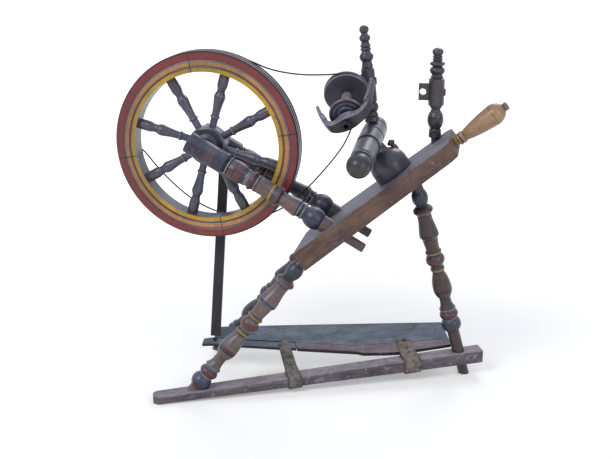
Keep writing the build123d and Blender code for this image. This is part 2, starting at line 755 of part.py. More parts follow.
# The ear that holds the rear bearing
ear_local = rear_plane.to_local_coords(f_back)
ear_reach = -ear_local.X
ear_mid = ear_local.Z
ear = Pos(-ear_reach / 2, 0, ear_mid) * Box(ear_reach, ear_thick, ear_height)
ear = ear + Pos(-ear_reach, 0, ear_mid) * Cylinder(ear_height / 2, ear_thick, rotation=(90, 0, 0))
ear_cut = Cylinder(rear_block_r, ear_height + 2.0)
ear = ear - Pos(0, 0, ear_mid) * ear_cut
ear = ear + Pos(0, 0, ear_mid) * Box(2 * rear_block_r + 6.0, 2 * ear_tongue_half - 6.0,
                                     2 * ear_tongue_half)
rear_bearing = rear_plane * ear
ear_mortise = rear_plane * (Pos(0, 0, ear_mid) * Box(2 * rear_block_r + 20.0,
                                                     2 * ear_tongue_half - 6.0 + 2 * fit,
                                                     2 * ear_tongue_half + 2 * fit))
rear_maiden = rear_maiden - ear_mortise
rear_bearing = rear_bearing - rod(f_back - flyer_z * 60.0, f_back + flyer_z * 60.0,
                                  spindle_r + loose)
peg_r = 2.5
rear_peg = rear_plane * (Pos(0, 0, ear_mid) * Cylinder(peg_r, 2 * rear_block_r + 3.0,
                                                       rotation=(90, 0, 0)))
rear_maiden = rear_maiden - rear_peg
rear_bearing = rear_bearing - rear_peg

# Front maiden, standing in the table's hole
top_at_maiden = table_corner_z + (front_maiden_x - table_corner_x) * math.tan(slope)
front_foot = top_at_maiden + front_shoulder_r * math.tan(slope) + seat_gap
front_marks = [
    (0.0, front_shoulder_r), (2.0, 15.5), (13.0, 15.0), (15.0, 12.5), (20.0, 13.0, 17.5, 15.5),
    (23.0, 13.0), (65.0, 12.0, 42.0, 19.5), (70.0, 11.0), (74.0, 15.0), (77.0, 15.0),
    (79.0, front_block_r), (141.0, front_block_r), (144.0, 13.0), (146.0, 16.0), (149.0, 13.0),
    (152.0, 12.5), (170.0, 10.5, 161.0, 18.0), (173.0, 14.0), (181.0, 14.0, 177.0, 18.0),
    (184.0, 10.0), (187.0, 13.0), (190.0, 10.0), (194.0, 13.0), (197.0, 9.5),
    (213.0, 7.5, 205.0, 13.5), (215.5, 0.0),
]
front_maiden = turned(lifted(front_marks, front_foot))
front_maiden = front_maiden + turned([(front_foot - 52.0, maiden_tenon_r),
                                      (front_foot + 6.0, maiden_tenon_r)])
f_ear = Pos(-front_ear_out / 2, 0, 0) * Box(front_ear_out, 12.0, front_ear_height)
f_ear = f_ear + Pos(-front_ear_out, 0, 0) * Box(2 * front_ear_half - 8.0, 12.0, front_ear_height)
f_ear = f_ear - Cylinder(front_block_r, front_ear_height + 2.0)
f_ear = [s for s in f_ear.solids() if s.center().X < -5.0][0]
f_ear = f_ear + Box(2 * front_block_r + 6.0, 10.0, 16.0)
f_ear = f_ear - Pos(-front_ear_out - 4.0, 0, 0) * Cylinder(front_bore_r, 60, rotation=(90, 0, 0))
f_lift = Pos(0, 0, front_foot + front_ear_z)
front_maiden = front_maiden - f_lift * Box(2 * front_block_r + 20.0, 10.0 + 2 * fit,
                                           16.0 + 2 * fit)
front_peg = f_lift * Cylinder(peg_r, 2 * front_block_r + 3.0, rotation=(90, 0, 0))
front_maiden = front_maiden - front_peg
front_bearing = f_lift * f_ear - front_peg
stand = Pos(front_maiden_x, front_maiden_y, 0)
front_maiden = stand * front_maiden
front_bearing = stand * front_bearing
front_peg = stand * front_peg

# Flyer pieces
spindle = turned([(-13.0, 3.5), (-11.5, spindle_r), (flyer_length - 34.0, spindle_r),
                  (flyer_length - 34.0, orifice_r), (flyer_length - 8.0, orifice_r),
                  (flyer_length - 8.0, orifice_r + 2.0), (flyer_length - 1.5, orifice_r + 2.0),
                  (flyer_length, orifice_r + 0.5)])
spindle = spindle - Pos(0, 0, flyer_length - 30.0) * Cylinder(
    orifice_bore_r, 60, align=(Align.CENTER, Align.CENTER, Align.MIN))
spindle = spindle - Pos(0, 0, flyer_length - 24.0) * (Rot(90, 0, 0) * Cylinder(
    3.5, 40, align=(Align.CENTER, Align.CENTER, Align.MIN)))
flyer_spindle = flyer_plane * spindle

half_whorl = whorl_thick / 2
whorl_face = turned([
    (-half_whorl, whorl_r - 3.0), (-half_whorl + 2.0, whorl_r), (-whorl_groove_top / 2, whorl_r),
    (-whorl_groove_floor / 2, whorl_groove_r), (whorl_groove_floor / 2, whorl_groove_r),
    (whorl_groove_top / 2, whorl_r), (half_whorl - 2.0, whorl_r), (half_whorl, whorl_r - 3.0),
])
whorl_local = Pos(0, 0, whorl_at) * (whorl_face - Cylinder(spindle_r + fit, 100))
whorl = flyer_plane * whorl_local

arm_outer = [(17.0, 190.0), (34.0, 183.0), (50.0, 164.0), (60.5, 132.0), (68.5, 98.0),
             (74.0, 58.0), (75.0, 50.0)]
arm_inner = [(69.0, 50.0), (67.0, 62.0), (60.5, 98.0), (52.0, 130.0), (45.0, 152.0),
             (30.0, 158.0)]
points = arm_outer + arm_inner
mirror_points = [(-x, z) for x, z in reversed(points)]
arms_face = make_face(Polyline(*[(x, 0, z) for x, z in points + mirror_points], close=True))
arms = extrude(arms_face, amount=arm_half, dir=(0, 1, 0), both=True)
collar_low = 155.0
collar = turned([(collar_low, 15.0), (collar_low + 3.0, 17.0), (186.0, 17.0), (192.0, 13.0)])
arms = arms + collar
arms = arms - Pos(0, 0, 170) * Cylinder(spindle_r + fit, 200)
front_bore = Pos(0, 0, flyer_length - 34.0) * Cylinder(
    orifice_r + fit, 80, align=(Align.CENTER, Align.CENTER, Align.MIN))
arms = arms - front_bore
flyer_arms = flyer_plane * arms

# Wire hooks stand on one face of each arm
hook_places = []
for number in range(5):
    z = 66.0 + 15.0 * number
    x = 69.6 - 0.2 * (z - 66.0) if z < 98 else 63.8 - 0.26 * (z - 98.0)
    hook_places.append((x, z))
hook_solids = []
for sign in (-1, 1):
    for x, z in hook_places:
        base = Vector(sign * x, 0, z)
        shank = rod(base + Vector(0, sign * (arm_half - 3.0), 0),
                    base + Vector(0, sign * (arm_half + 7.0), 0), 1.1)
        top = base + Vector(0, sign * (arm_half + 7.0), 0)
        tip = base + Vector(-sign * 5.5, sign * (arm_half + 9.5), 0)
        whole = shank + Pos(*top) * Sphere(1.1) + rod(top, tip, 1.1)
        hook_solids.append(whole)
        flyer_arms = flyer_arms - flyer_plane * shank
flyer_hooks = [flyer_plane * hook for hook in hook_solids]

bobbin_local = turned([
    (bobbin_rear, 28.0), (bobbin_rear + 1.0, bobbin_flange_r - 6.0),
    (bobbin_rear + 2.0, bobbin_flange_r - 6.0), (bobbin_rear + bobbin_flange, bobbin_flange_r - 6.0),
    (bobbin_rear + bobbin_flange, bobbin_core_r), (bobbin_front - bobbin_flange, bobbin_core_r),
    (bobbin_front - bobbin_flange, bobbin_flange_r), (bobbin_front - 1.0, bobbin_flange_r),
    (bobbin_front, bobbin_flange_r - 1.5),
])
bobbin_local = bobbin_local - Pos(0, 0, 100) * Cylinder(spindle_r + loose, 200)
bobbin = flyer_plane * bobbin_local
thread_low = bobbin_rear + bobbin_flange
thread_high = bobbin_front - bobbin_flange
thread = turned([(thread_low, 22.0), (thread_low + 14.0, 29.0), (thread_high - 14.0, thread_r),
                 (thread_high, 24.0)])
thread = thread - Pos(0, 0, 100) * Cylinder(bobbin_core_r, 200)
bobbin_thread = flyer_plane * thread

# Tension screw with its handle
handle_marks = [
    (1.0, 11.0), (8.0, 12.0), (10.0, 15.5), (14.0, 15.5), (16.0, 12.5), (18.0, 15.5), (23.0, 15.0),
    (27.0, 13.0), (34.0, 15.0), (104.0, 25.0, 70.0, 21.5), (132.0, 15.0, 122.0, 22.5),
    (136.0, 10.0), (139.0, 9.0), (handle_length, 5.0, 144.5, 10.0),
]
screw_plane = Plane(origin=on_table(0, stem_y, screw_h), x_dir=table_n, z_dir=table_x)
tension_handle = screw_plane * turned(handle_marks)
screw = turned([(screw_end_u, screw_r - 1.5), (screw_end_u + 1.5, screw_r), (22.0, screw_r)])
tension_screw = screw_plane * screw
tension_handle = tension_handle - screw_plane * (Pos(0, 0, -8) * Cylinder(
    screw_r, 60))

# Drive band: along the rim's rear groove, off it on the left, behind the wheel and round
# the whorl
whorl_middle = f_back + flyer_z * whorl_at
band_side = unit(Vector(1, 0, 0) - flyer_z * flyer_z.X)
band_up = flyer_z.cross(band_side)
if band_up.Z < 0:
    band_up = band_up * -1.0
band_wheel_r = wheel_r - groove_depth + band_r + band_groove_clear
band_whorl_r = whorl_groove_r + band_r + band_groove_clear


def polar(r, angle, y):
    a = math.radians(angle)
    return (r * math.cos(a), y, r * math.sin(a))


def whorl_point(r, angle):
    a = math.radians(angle)
    place = whorl_middle + band_side * (r * math.cos(a)) + band_up * (r * math.sin(a))
    return (place.X, place.Y, place.Z)


whorl_step = 22.5
whorl_out = band_whorl_r / math.cos(math.radians(whorl_step))
rim_step = 15.0
rim_out = band_wheel_r / math.cos(math.radians(rim_step))
band_corners = [
    (whorl_point(whorl_out, 82.5), 44.0),
    ((298.0, 4.5, 177.5), 120.0),
    ((226.0, 7.5, 174.8), 240.0),
    ((154.5, band_wheel_y, 184.6), 160.0),
    (polar(band_wheel_r + 4.5, 64.0, band_wheel_y), 200.0),
    (polar(rim_out, 90.3, band_wheel_y), 218.0),
    (polar(rim_out, 120.3, band_wheel_y), 218.0),
    (polar(rim_out + 1.0, 149.0, band_wheel_y + 0.5), 150.0),
    (polar(wheel_r + 8.0, 168.0, 13.0), 60.0),
    (polar(wheel_r + 9.0, 182.0, 27.0), 14.0),
    ((-186.0, band_rear_y, -14.0), 60.0),
    ((-135.0, band_rear_y, -81.0), 120.0),
    ((-58.0, band_rear_y, -150.0), 160.0),
    ((20.0, band_rear_y, -184.0), 160.0),
    ((110.0, band_rear_y, -193.0), 160.0),
    ((185.0, band_rear_y, -160.0), 160.0),
    ((243.0, band_rear_y, -106.0), 300.0),
    ((302.0, 30.5, -36.0), 160.0),
    ((334.0, 44.0, 10.0), 120.0),
    ((351.0, 60.0, 60.0), 120.0),
    (whorl_point(whorl_out, -7.5), 44.0),
    (whorl_point(whorl_out, 37.5), 44.0),
]


def corner_radii(corners):
    # The wanted radius at each corner, or as much as its two runs leave room for
    count = len(corners)
    radii = []
    for index in range(count):
        before = Vector(*corners[index - 1][0])
        here = Vector(*corners[index][0])
        after = Vector(*corners[(index + 1) % count][0])
        turn = math.acos(unit(here - before).dot(unit(after - here)))
        room = 0.47 * min((here - before).length, (after - here).length)
        radii.append(min(corners[index][1], room / math.tan(turn / 2)))
    return radii


band_radii = corner_radii(band_corners)
band_wire = FilletPolyline(*[c[0] for c in band_corners], radius=band_radii, close=True)
band_wire = band_wire.wires()[0]
# The closed run is swept in two halves that meet face to face
band_edges = band_wire.edges()
band_half = len(band_edges) // 2
band_runs = []
for run_edges in (band_edges[:band_half], band_edges[band_half:]):
    run_face = Plane(origin=run_edges[0] @ 0.0, z_dir=run_edges[0] % 0.0) * Circle(band_r)
    band_runs.append(sweep(run_face, path=Wire(run_edges)))
drive_band = band_runs[0] + band_runs[1]
band_length = band_wire.length
print("drive band length", round(band_length, 1), "radii", [round(r, 1) for r in band_radii])
print("drive band volume ratio", round(drive_band.volume / (band_length * math.pi * band_r ** 2), 4))

nodes = {
    "table": table,
    "leg_front_left": leg_front_left,
    "leg_rear_left": leg_rear_left,
    "leg_right": leg_right,
    "foot_rail": foot_rail,
    "wheel_post_front": wheel_post_front,
    "wheel_post_rear": wheel_post_rear,
    "axle_pins": Compound(children=[single(p) for p in axle_pins]),
    "hub": hub,
    "axle_crank": axle_crank,
    "footman": footman,
    "footman_hook": footman_hook,
    "treadle_board": treadle_board,
    "treadle_bar": treadle_bar,
    "treadle_strip": treadle_strip,
    "strap_left": strap_left,
    "strap_right": strap_right,
    "strap_left_loop": strap_left_loop,
    "strap_right_loop": strap_right_loop,
    "strap_nail": strap_nail,
    "mother_stem": mother_stem,
    "mother_bar": mother_bar,
    "stem_knob": stem_knob,
    "rear_maiden": rear_maiden,
    "rear_bearing": rear_bearing,
    "rear_peg": rear_peg,
    "front_maiden": front_maiden,
    "front_bearing": front_bearing,
    "front_peg": front_peg,
    "flyer_arms": flyer_arms,
    "flyer_spindle": flyer_spindle,
    "flyer_hooks": Compound(children=[single(h) for h in flyer_hooks]),
    "whorl": whorl,
    "bobbin": bobbin,
    "bobbin_thread": bobbin_thread,
    "tension_handle": tension_handle,
    "tension_screw": tension_screw,
    "drive_band": drive_band,
}
for index, felloe in enumerate(felloe_full):
    nodes["felloe_" + str(index + 1)] = felloe
for index, spoke in enumerate(spokes):
    nodes["spoke_" + str(index + 1)] = spoke

boxes = [shape.bounding_box() for shape in nodes.values()]
low_x = min(b.min.X for b in boxes)
high_x = max(b.max.X for b in boxes)
low_y = min(b.min.Y for b in boxes)
high_y = max(b.max.Y for b in boxes)
low_z = min(b.min.Z for b in boxes)
shift = Vector(-(low_x + high_x) / 2, -(low_y + high_y) / 2, -low_z)
print("shift", round(shift.X, 3), round(shift.Y, 3), round(shift.Z, 3))

for name, shape in nodes.items():
    placed = Pos(shift.X, shift.Y, shift.Z) * shape
    solids = placed.solids()
    result = solids[0] if len(solids) == 1 else Compound(children=list(solids))
    print(name, "solids", len(solids), "valid", result.is_valid, "volume", round(result.volume))
    export_step(result, "parts/" + name + ".step")

# Joint anchors in the final frame


def show(label, point, direction=None):
    moved = point + shift
    text = [round(moved.X / 1000, 6), round(moved.Y / 1000, 6), round(moved.Z / 1000, 6)]
    line = label + " pos_m " + str(text)
    if direction is not None:
        line += " axis " + str([round(direction.X, 6), round(direction.Y, 6), round(direction.Z, 6)])
    print(line)


show("wheel", Vector(0, 0, 0), Vector(0, 1, 0))
show("treadle", rail_a + rail_e * 300.0, rail_e)
show("footman", hook_point, rail_e)
show("rail", rail_a, rail_e)
show("mother_of_all", on_table(stem_u, stem_y, 0), table_x)
show("tension_screw", on_table(0, stem_y, screw_h), table_x)
show("rear_maiden", bar_axis_point, maiden_dir)
show("front_maiden", Vector(front_maiden_x, front_maiden_y, front_foot), Vector(0, 0, 1))
show("flyer", f_back, flyer_z)
show("front bearing bore", Vector(front_maiden_x - front_ear_out - 4.0, front_maiden_y,
                                  front_foot + front_ear_z), Vector(0, 1, 0))
show("orifice", f_front, flyer_z)
show("whorl middle", whorl_middle)
show("crank pin", Vector(crank_x, crank_pin_end_y, crank_z))
show("footman eye", foot_top)
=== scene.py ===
# %% [markdown]
# A treadle spinning wheel, dressed for its picture. The turned and sawn wood comes in finished
# from the CAD, so this lesson gives it its paint, stain and wear, and adds what CAD makes badly:
# the drive band, the leather straps, the yarn on the bobbin and the carved flyer.

import math

import bpy
from mathutils import Matrix, Vector


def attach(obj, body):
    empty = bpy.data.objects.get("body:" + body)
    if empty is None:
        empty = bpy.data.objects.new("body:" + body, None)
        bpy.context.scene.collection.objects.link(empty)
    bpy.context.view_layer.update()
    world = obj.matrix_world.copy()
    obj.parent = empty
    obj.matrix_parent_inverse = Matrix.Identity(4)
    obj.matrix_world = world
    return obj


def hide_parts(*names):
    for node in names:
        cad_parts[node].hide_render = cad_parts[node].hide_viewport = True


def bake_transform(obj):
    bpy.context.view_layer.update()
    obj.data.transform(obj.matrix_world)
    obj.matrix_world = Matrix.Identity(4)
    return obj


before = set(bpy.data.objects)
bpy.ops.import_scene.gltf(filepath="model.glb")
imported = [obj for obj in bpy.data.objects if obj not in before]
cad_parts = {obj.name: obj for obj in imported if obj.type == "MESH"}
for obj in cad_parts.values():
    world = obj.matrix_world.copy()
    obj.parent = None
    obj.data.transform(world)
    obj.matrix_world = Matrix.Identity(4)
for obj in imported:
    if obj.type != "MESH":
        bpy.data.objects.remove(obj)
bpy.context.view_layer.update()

# %% [markdown]
# Every size below is in millimetres from the middle of the wheel's axle, as the wheel was
# drawn, because the painted rings were measured that way. One helper turns such a place into
# the scene's metres, and one small frame (a place and the way a turned piece runs) is kept for
# each turned piece, so that its rings can be counted along it.

# %% Places
MM = 0.001
AXLE = Vector((-0.239209, 0.009669, 0.612))


def spot(x, y, z):
    return AXLE + Vector((x, y, z)) * MM


def along(start, end):
    return (Vector(end) - Vector(start)).normalized()


SLOPE = math.radians(38.4)
UP_TABLE = Vector((math.cos(SLOPE), 0, math.sin(SLOPE)))
OUT_OF_TABLE = Vector((-math.sin(SLOPE), 0, math.cos(SLOPE)))


def on_table(u, y, h):
    corner = Vector((585.0, 0, 44.3))
    return corner + UP_TABLE * u + Vector((0, y, 0)) + OUT_OF_TABLE * h


POST_LEAN = math.radians(29.7)
POST_WAY = Vector((math.cos(POST_LEAN), 0, -math.sin(POST_LEAN)))
LEG_LEFT = ((228.0, -72.0, -289.0), (-31.0, -153.0, -612.0))
LEG_REAR = ((228.0, 72.0, -289.0), (-31.0, 153.0, -612.0))
LEG_RIGHT = ((517.0, 40.0, -119.0), (642.0, 122.0, -612.0))
BAR_WAY = Vector((0, math.cos(math.radians(3.8)), math.sin(math.radians(3.8))))
MAIDEN_WAY = Vector((-math.sin(math.radians(6.3)), 0, math.cos(math.radians(6.3))))
BEARING = Vector((330.3, 69.0, 149.2))
ORIFICE = Vector((356.7, -119.0, 79.3))
FLYER_WAY = along(BEARING, ORIFICE)
BAR_CROSSING = on_table(-160.0, 6.0, 100.0)
REAR_MAIDEN_FOOT = BAR_CROSSING + BAR_WAY * ((69.0 - 6.0) / BAR_WAY.y)
RAIL_LEFT = Vector((-31.0, -160.0, -600.0))
RAIL_RIGHT = Vector((627.0, 112.0, -552.0))
RAIL_WAY = (RAIL_RIGHT - RAIL_LEFT).normalized()
print("table corner", [round(c, 3) for c in spot(*on_table(0, 0, 0))])

# %% [markdown]
# The camera comes first, because everything is compared through it. It stands where the lines
# of the photograph say that the photographer's eye was: 2.3 m in front, 1.13 m up, looking
# 17 degrees down and 10.5 degrees to the left, through a lens a little longer than normal.

# %% Camera
def added(name, data):
    made = bpy.data.objects.new(name, data)
    bpy.context.collection.objects.link(made)
    return made


camera_data = bpy.data.cameras.new("camera")
camera = added("camera", camera_data)
camera.location = (0.4337, -2.3100, 1.1320)
camera.rotation_euler = (math.radians(72.926), 0, math.radians(10.499))
camera_data.sensor_width = 36.0
camera_data.lens = 58.82
bpy.context.scene.camera = camera
print("camera", tuple(round(c, 3) for c in camera.location))

# %% [markdown]
# The drive band is one endless cord. On this wheel it has slipped: it runs from the small
# pulley over the wheel's rear groove, drops off the rim on the left and hangs back to the
# pulley behind the spokes. A band is tied, not spliced, so the spline starts and ends at a
# knot. A NURBS curve is chosen because it bends as evenly as a cord under its own weight.

# %% Drive band
BAND_THICK = 0.004
PULLEY_AT = 47.4
PULLEY = BEARING + FLYER_WAY * PULLEY_AT
ACROSS = (Vector((1, 0, 0)) - FLYER_WAY * FLYER_WAY.x).normalized()
UPWARD = FLYER_WAY.cross(ACROSS)
if UPWARD.z < 0:
    UPWARD = -UPWARD


def pulley_point(radius, angle):
    a = math.radians(angle)
    return tuple(PULLEY + ACROSS * (radius * math.cos(a)) + UPWARD * (radius * math.sin(a)))


def wheel_point(radius, angle, y):
    a = math.radians(angle)
    return (radius * math.cos(a), y, radius * math.sin(a))


BAND_ROUTE = [
    pulley_point(50.6, 64.0), pulley_point(53.6, 84.0), (298.0, 4.5, 177.5),
    (226.0, 7.5, 174.8), (154.5, 9.0, 184.6), wheel_point(231.1, 64.0, 9.0),
    wheel_point(234.6, 90.3, 9.0), wheel_point(234.6, 120.3, 9.0),
    wheel_point(235.6, 149.0, 9.5), wheel_point(238.0, 168.0, 13.0),
    wheel_point(239.0, 182.0, 27.0), (-186.0, 28.0, -14.0), (-135.0, 28.0, -81.0),
    (-58.0, 28.0, -150.0), (20.0, 28.0, -184.0), (110.0, 28.0, -193.0),
    (185.0, 28.0, -160.0), (243.0, 28.0, -106.0), (302.0, 30.5, -36.0),
    (334.0, 44.0, 10.0), (351.0, 60.0, 60.0), pulley_point(54.2, -7.5),
    pulley_point(54.2, 37.5), pulley_point(50.6, 60.0),
]

band_curve = bpy.data.curves.new("drive_band_cord", "CURVE")
band_curve.dimensions = "3D"
band_run = band_curve.splines.new("NURBS")
band_run.points.add(len(BAND_ROUTE) - 1)
for point, place in zip(band_run.points, BAND_ROUTE):
    point.co = (*spot(*place), 1.0)
    point.radius = BAND_THICK / 2
band_run.order_u = 3
band_run.use_endpoint_u = True
band_run.resolution_u = 12
# A curve's box grows by the radius of its points, so that is the cord's, and the bevel is 1
band_curve.bevel_depth = 1.0
band_curve.bevel_resolution = 3
band_curve.use_fill_caps = True
band = added("drive_band_cord", band_curve)
print("band points", len(BAND_ROUTE))

# %% [markdown]
# The knot is a small lump where the two ends are tied: a torus with a second one pushed through
# it. It sits in the pulley's groove, where the band is tightest.

# %% Knot
def deselect():
    bpy.ops.object.select_all(action="DESELECT")


def edit_all():
    bpy.ops.object.mode_set(mode="EDIT")
    bpy.ops.mesh.select_all(action="SELECT")


def leave_edit():
    bpy.ops.object.mode_set(mode="OBJECT")


def only(thing):
    deselect()
    thing.select_set(True)
    bpy.context.view_layer.objects.active = thing


def settle(thing):
    # Puts a piece's place into its mesh
    only(thing)
    bpy.ops.object.transform_apply(location=True, rotation=True, scale=True)
    return thing


def joined(name, things):
    deselect()
    for thing in things:
        thing.select_set(True)
    bpy.context.view_layer.objects.active = things[0]
    bpy.ops.object.join()
    things[0].name = name
    return things[0]


def turned_to(way, about=(0, 0, 1)):
    return Vector(about).rotation_difference(Vector(way)).to_euler()


knot_place = Vector(pulley_point(50.8, 62.0))
deselect()
knot_parts = []
for turn, way in enumerate((FLYER_WAY, ACROSS + UPWARD * 0.4)):
    bpy.ops.mesh.primitive_torus_add(
        major_radius=2.0 * MM, minor_radius=1.15 * MM, major_segments=20, minor_segments=10,
        location=spot(*knot_place), rotation=turned_to(way))
    knot_parts.append(settle(bpy.context.object))
knot = joined("band_knot", knot_parts)
print("knot", len(knot.data.polygons), "faces")

# %% [markdown]
# The real wheel was photographed against nothing, so it stands here on a wide pale floor under a
# white world. The camera sees the floor a little brighter than the lamps make it, and brighter
# still far away, where the lamps don't reach, so the soft shadow under the wheel is kept.

# %% Floor, world and lamps
def link(tree, start, end):
    tree.links.new(start, end)


def put(tree, kind, setting=None, **values):
    # Adds a shader node, sets its options, and feeds its sockets by name
    made = tree.nodes.new(kind)
    for name, value in (setting or {}).items():
        setattr(made, name, value)
    for name, value in values.items():
        feed(tree, made.inputs[name.replace("_", " ")], value)
    return made


def feed(tree, socket, value):
    if isinstance(value, bpy.types.NodeSocket):
        tree.links.new(value, socket)
    else:
        socket.default_value = value


def math_node(tree, operation, first, second=0.0, clamp=False):
    made = tree.nodes.new("ShaderNodeMath")
    made.operation = operation
    made.use_clamp = clamp
    feed(tree, made.inputs[0], first)
    feed(tree, made.inputs[1], second)
    return made.outputs[0]


def times(tree, first, second):
    return math_node(tree, "MULTIPLY", first, second)


def plus(tree, first, second):
    return math_node(tree, "ADD", first, second)


def less(tree, first, second):
    return math_node(tree, "SUBTRACT", first, second)


def blended(tree, share, first, second, way="MIX"):
    # Mix of two colours
    made = tree.nodes.new("ShaderNodeMix")
    made.data_type = "RGBA"
    made.blend_type = way
    feed(tree, made.inputs[0], share)
    feed(tree, made.inputs[6], first)
    feed(tree, made.inputs[7], second)
    return made.outputs[2]


def tint(text):
    # "#rrggbb" as the screen shows it, turned into the linear colour that Blender mixes
    parts = [int(text[i:i + 2], 16) / 255 for i in (1, 3, 5)]
    linear = [p / 12.92 if p <= 0.04045 else ((p + 0.055) / 1.055) ** 2.4 for p in parts]
    return (*linear, 1.0)


deselect()
bpy.ops.mesh.primitive_circle_add(vertices=64, radius=40.0, fill_type="NGON",
                                  location=(0, 12.0, 0))
floor = bpy.context.object
floor.name = "floor"
settle(floor)
floor_paint = bpy.data.materials.new("pale_floor")
floor_paint.use_nodes = True
floor_tree = floor_paint.node_tree
floor_skin = floor_tree.nodes["Principled BSDF"]
floor_skin.inputs["Base Color"].default_value = (0.86, 0.84, 0.81, 1)
floor_skin.inputs["Roughness"].default_value = 0.9
floor_skin.inputs["Specular IOR Level"].default_value = 0.0
rays = floor_tree.nodes.new("ShaderNodeLightPath")
floor_place = floor_tree.nodes.new("ShaderNodeTexCoord").outputs["Object"]
floor_reach = put(floor_tree, "ShaderNodeVectorMath", {"operation": "LENGTH"},
                  Vector=floor_place).outputs["Value"]
far_glow = put(floor_tree, "ShaderNodeMapRange", {"interpolation_type": "SMOOTHSTEP"},
               Value=floor_reach, From_Min=0.5, From_Max=2.6, To_Min=0.24, To_Max=0.85)
plain_rays = math_node(floor_tree, "MAXIMUM", rays.outputs["Is Camera Ray"],
                       math_node(floor_tree, "MAXIMUM", rays.outputs["Is Glossy Ray"],
                                 rays.outputs["Is Transmission Ray"]))
floor_glow = times(floor_tree, plain_rays, far_glow.outputs[0])
floor_skin.inputs["Emission Color"].default_value = (1, 1, 1, 1)
feed(floor_tree, floor_skin.inputs["Emission Strength"], floor_glow)
floor.data.materials.append(floor_paint)

world = bpy.data.worlds.new("studio")
bpy.context.scene.world = world
world.use_nodes = True
sky = world.node_tree
sky.nodes.clear()
seen = sky.nodes.new("ShaderNodeLightPath")
camera_or_clear = math_node(sky, "MAXIMUM", seen.outputs["Is Camera Ray"],
                            seen.outputs["Is Transmission Ray"])
# What shines shows a sky that is a little blue and not so bright, as it was out of doors
shine = times(sky, seen.outputs["Is Glossy Ray"], 0.55)
camera_or_shine = math_node(sky, "MAXIMUM", camera_or_clear, shine)
soft_white = put(sky, "ShaderNodeBackground", Color=(0.80, 0.87, 1.0, 1), Strength=0.62)
plain_white = put(sky, "ShaderNodeBackground", Color=(1, 1, 1, 1), Strength=1.0)
both_whites = sky.nodes.new("ShaderNodeMixShader")
feed(sky, both_whites.inputs[0], camera_or_shine)
link(sky, soft_white.outputs[0], both_whites.inputs[1])
link(sky, plain_white.outputs[0], both_whites.inputs[2])
world_out = sky.nodes.new("ShaderNodeOutputWorld")
link(sky, both_whites.outputs[0], world_out.inputs["Surface"])


def lamp(name, place, target, size, power, colour):
    data = bpy.data.lights.new(name, "AREA")
    data.shape = "DISK"
    data.size = size
    data.energy = power
    data.color = colour
    made = added(name, data)
    made.location = place
    made.rotation_euler = (Vector(target) - Vector(place)).to_track_quat("-Z", "Y").to_euler()
    return made


MIDDLE = (0.0, 0.0, 0.45)
lamp("key_lamp", (-1.6, -2.4, 3.0), MIDDLE, 1.8, 62.0, (1.0, 0.98, 0.95))
lamp("fill_lamp", (2.6, -2.2, 1.6), MIDDLE, 2.2, 26.0, (0.95, 0.98, 1.0))
lamp("back_lamp", (0.6, 2.4, 2.6), MIDDLE, 1.6, 24.0, (1.0, 1.0, 1.0))
bpy.context.scene.view_settings.view_transform = "Standard"

# %% [markdown]
# Three effects come back on nearly every piece, so each is a node group built once: wood grain
# that runs along a piece, dirt and rubbed places that break up a finish, and a pale blue-grey on
# what faces up, which is dust together with painted sky light. Each takes the place on the piece
# in millimetres and gives out colours or masks.

# %% Shared effects
def group(name, inputs, outputs):
    made = bpy.data.node_groups.new(name, "ShaderNodeTree")
    for kind, label, value in inputs:
        socket = made.interface.new_socket(name=label, in_out="INPUT", socket_type=kind)
        if value is not None:
            socket.default_value = value
    for kind, label in outputs:
        made.interface.new_socket(name=label, in_out="OUTPUT", socket_type=kind)
    return made, made.nodes.new("NodeGroupInput"), made.nodes.new("NodeGroupOutput")


VECTOR, COLOUR, NUMBER = "NodeSocketVector", "NodeSocketColor", "NodeSocketFloat"


def stretched(tree, place, scale):
    return put(tree, "ShaderNodeMapping", Vector=place, Scale=scale).outputs[0]


def noise(tree, place, scale=1.0, detail=4.0, rough=0.55, twist=0.0):
    return put(tree, "ShaderNodeTexNoise", Vector=place, Scale=scale, Detail=detail,
               Roughness=rough, Distortion=twist).outputs["Fac"]


def part_of(tree, vector, letter):
    return put(tree, "ShaderNodeSeparateXYZ", Vector=vector).outputs[letter]


def length_of(tree, vector):
    return put(tree, "ShaderNodeVectorMath", {"operation": "LENGTH"},
               Vector=vector).outputs["Value"]


def facing_by(tree, facing, way):
    # 1 where a surface faces the given way, 0 where it runs along it
    made = put(tree, "ShaderNodeVectorMath", {"operation": "DOT_PRODUCT"})
    link(tree, facing, made.inputs[0])
    made.inputs[1].default_value = tuple(way)
    return made.outputs["Value"]


def stepped(tree, value, low, high, to_low=0.0, to_high=1.0):
    made = put(tree, "ShaderNodeMapRange", {"interpolation_type": "SMOOTHSTEP"}, Value=value,
               From_Min=low, From_Max=high, To_Min=to_low, To_Max=to_high)
    return made.outputs[0]


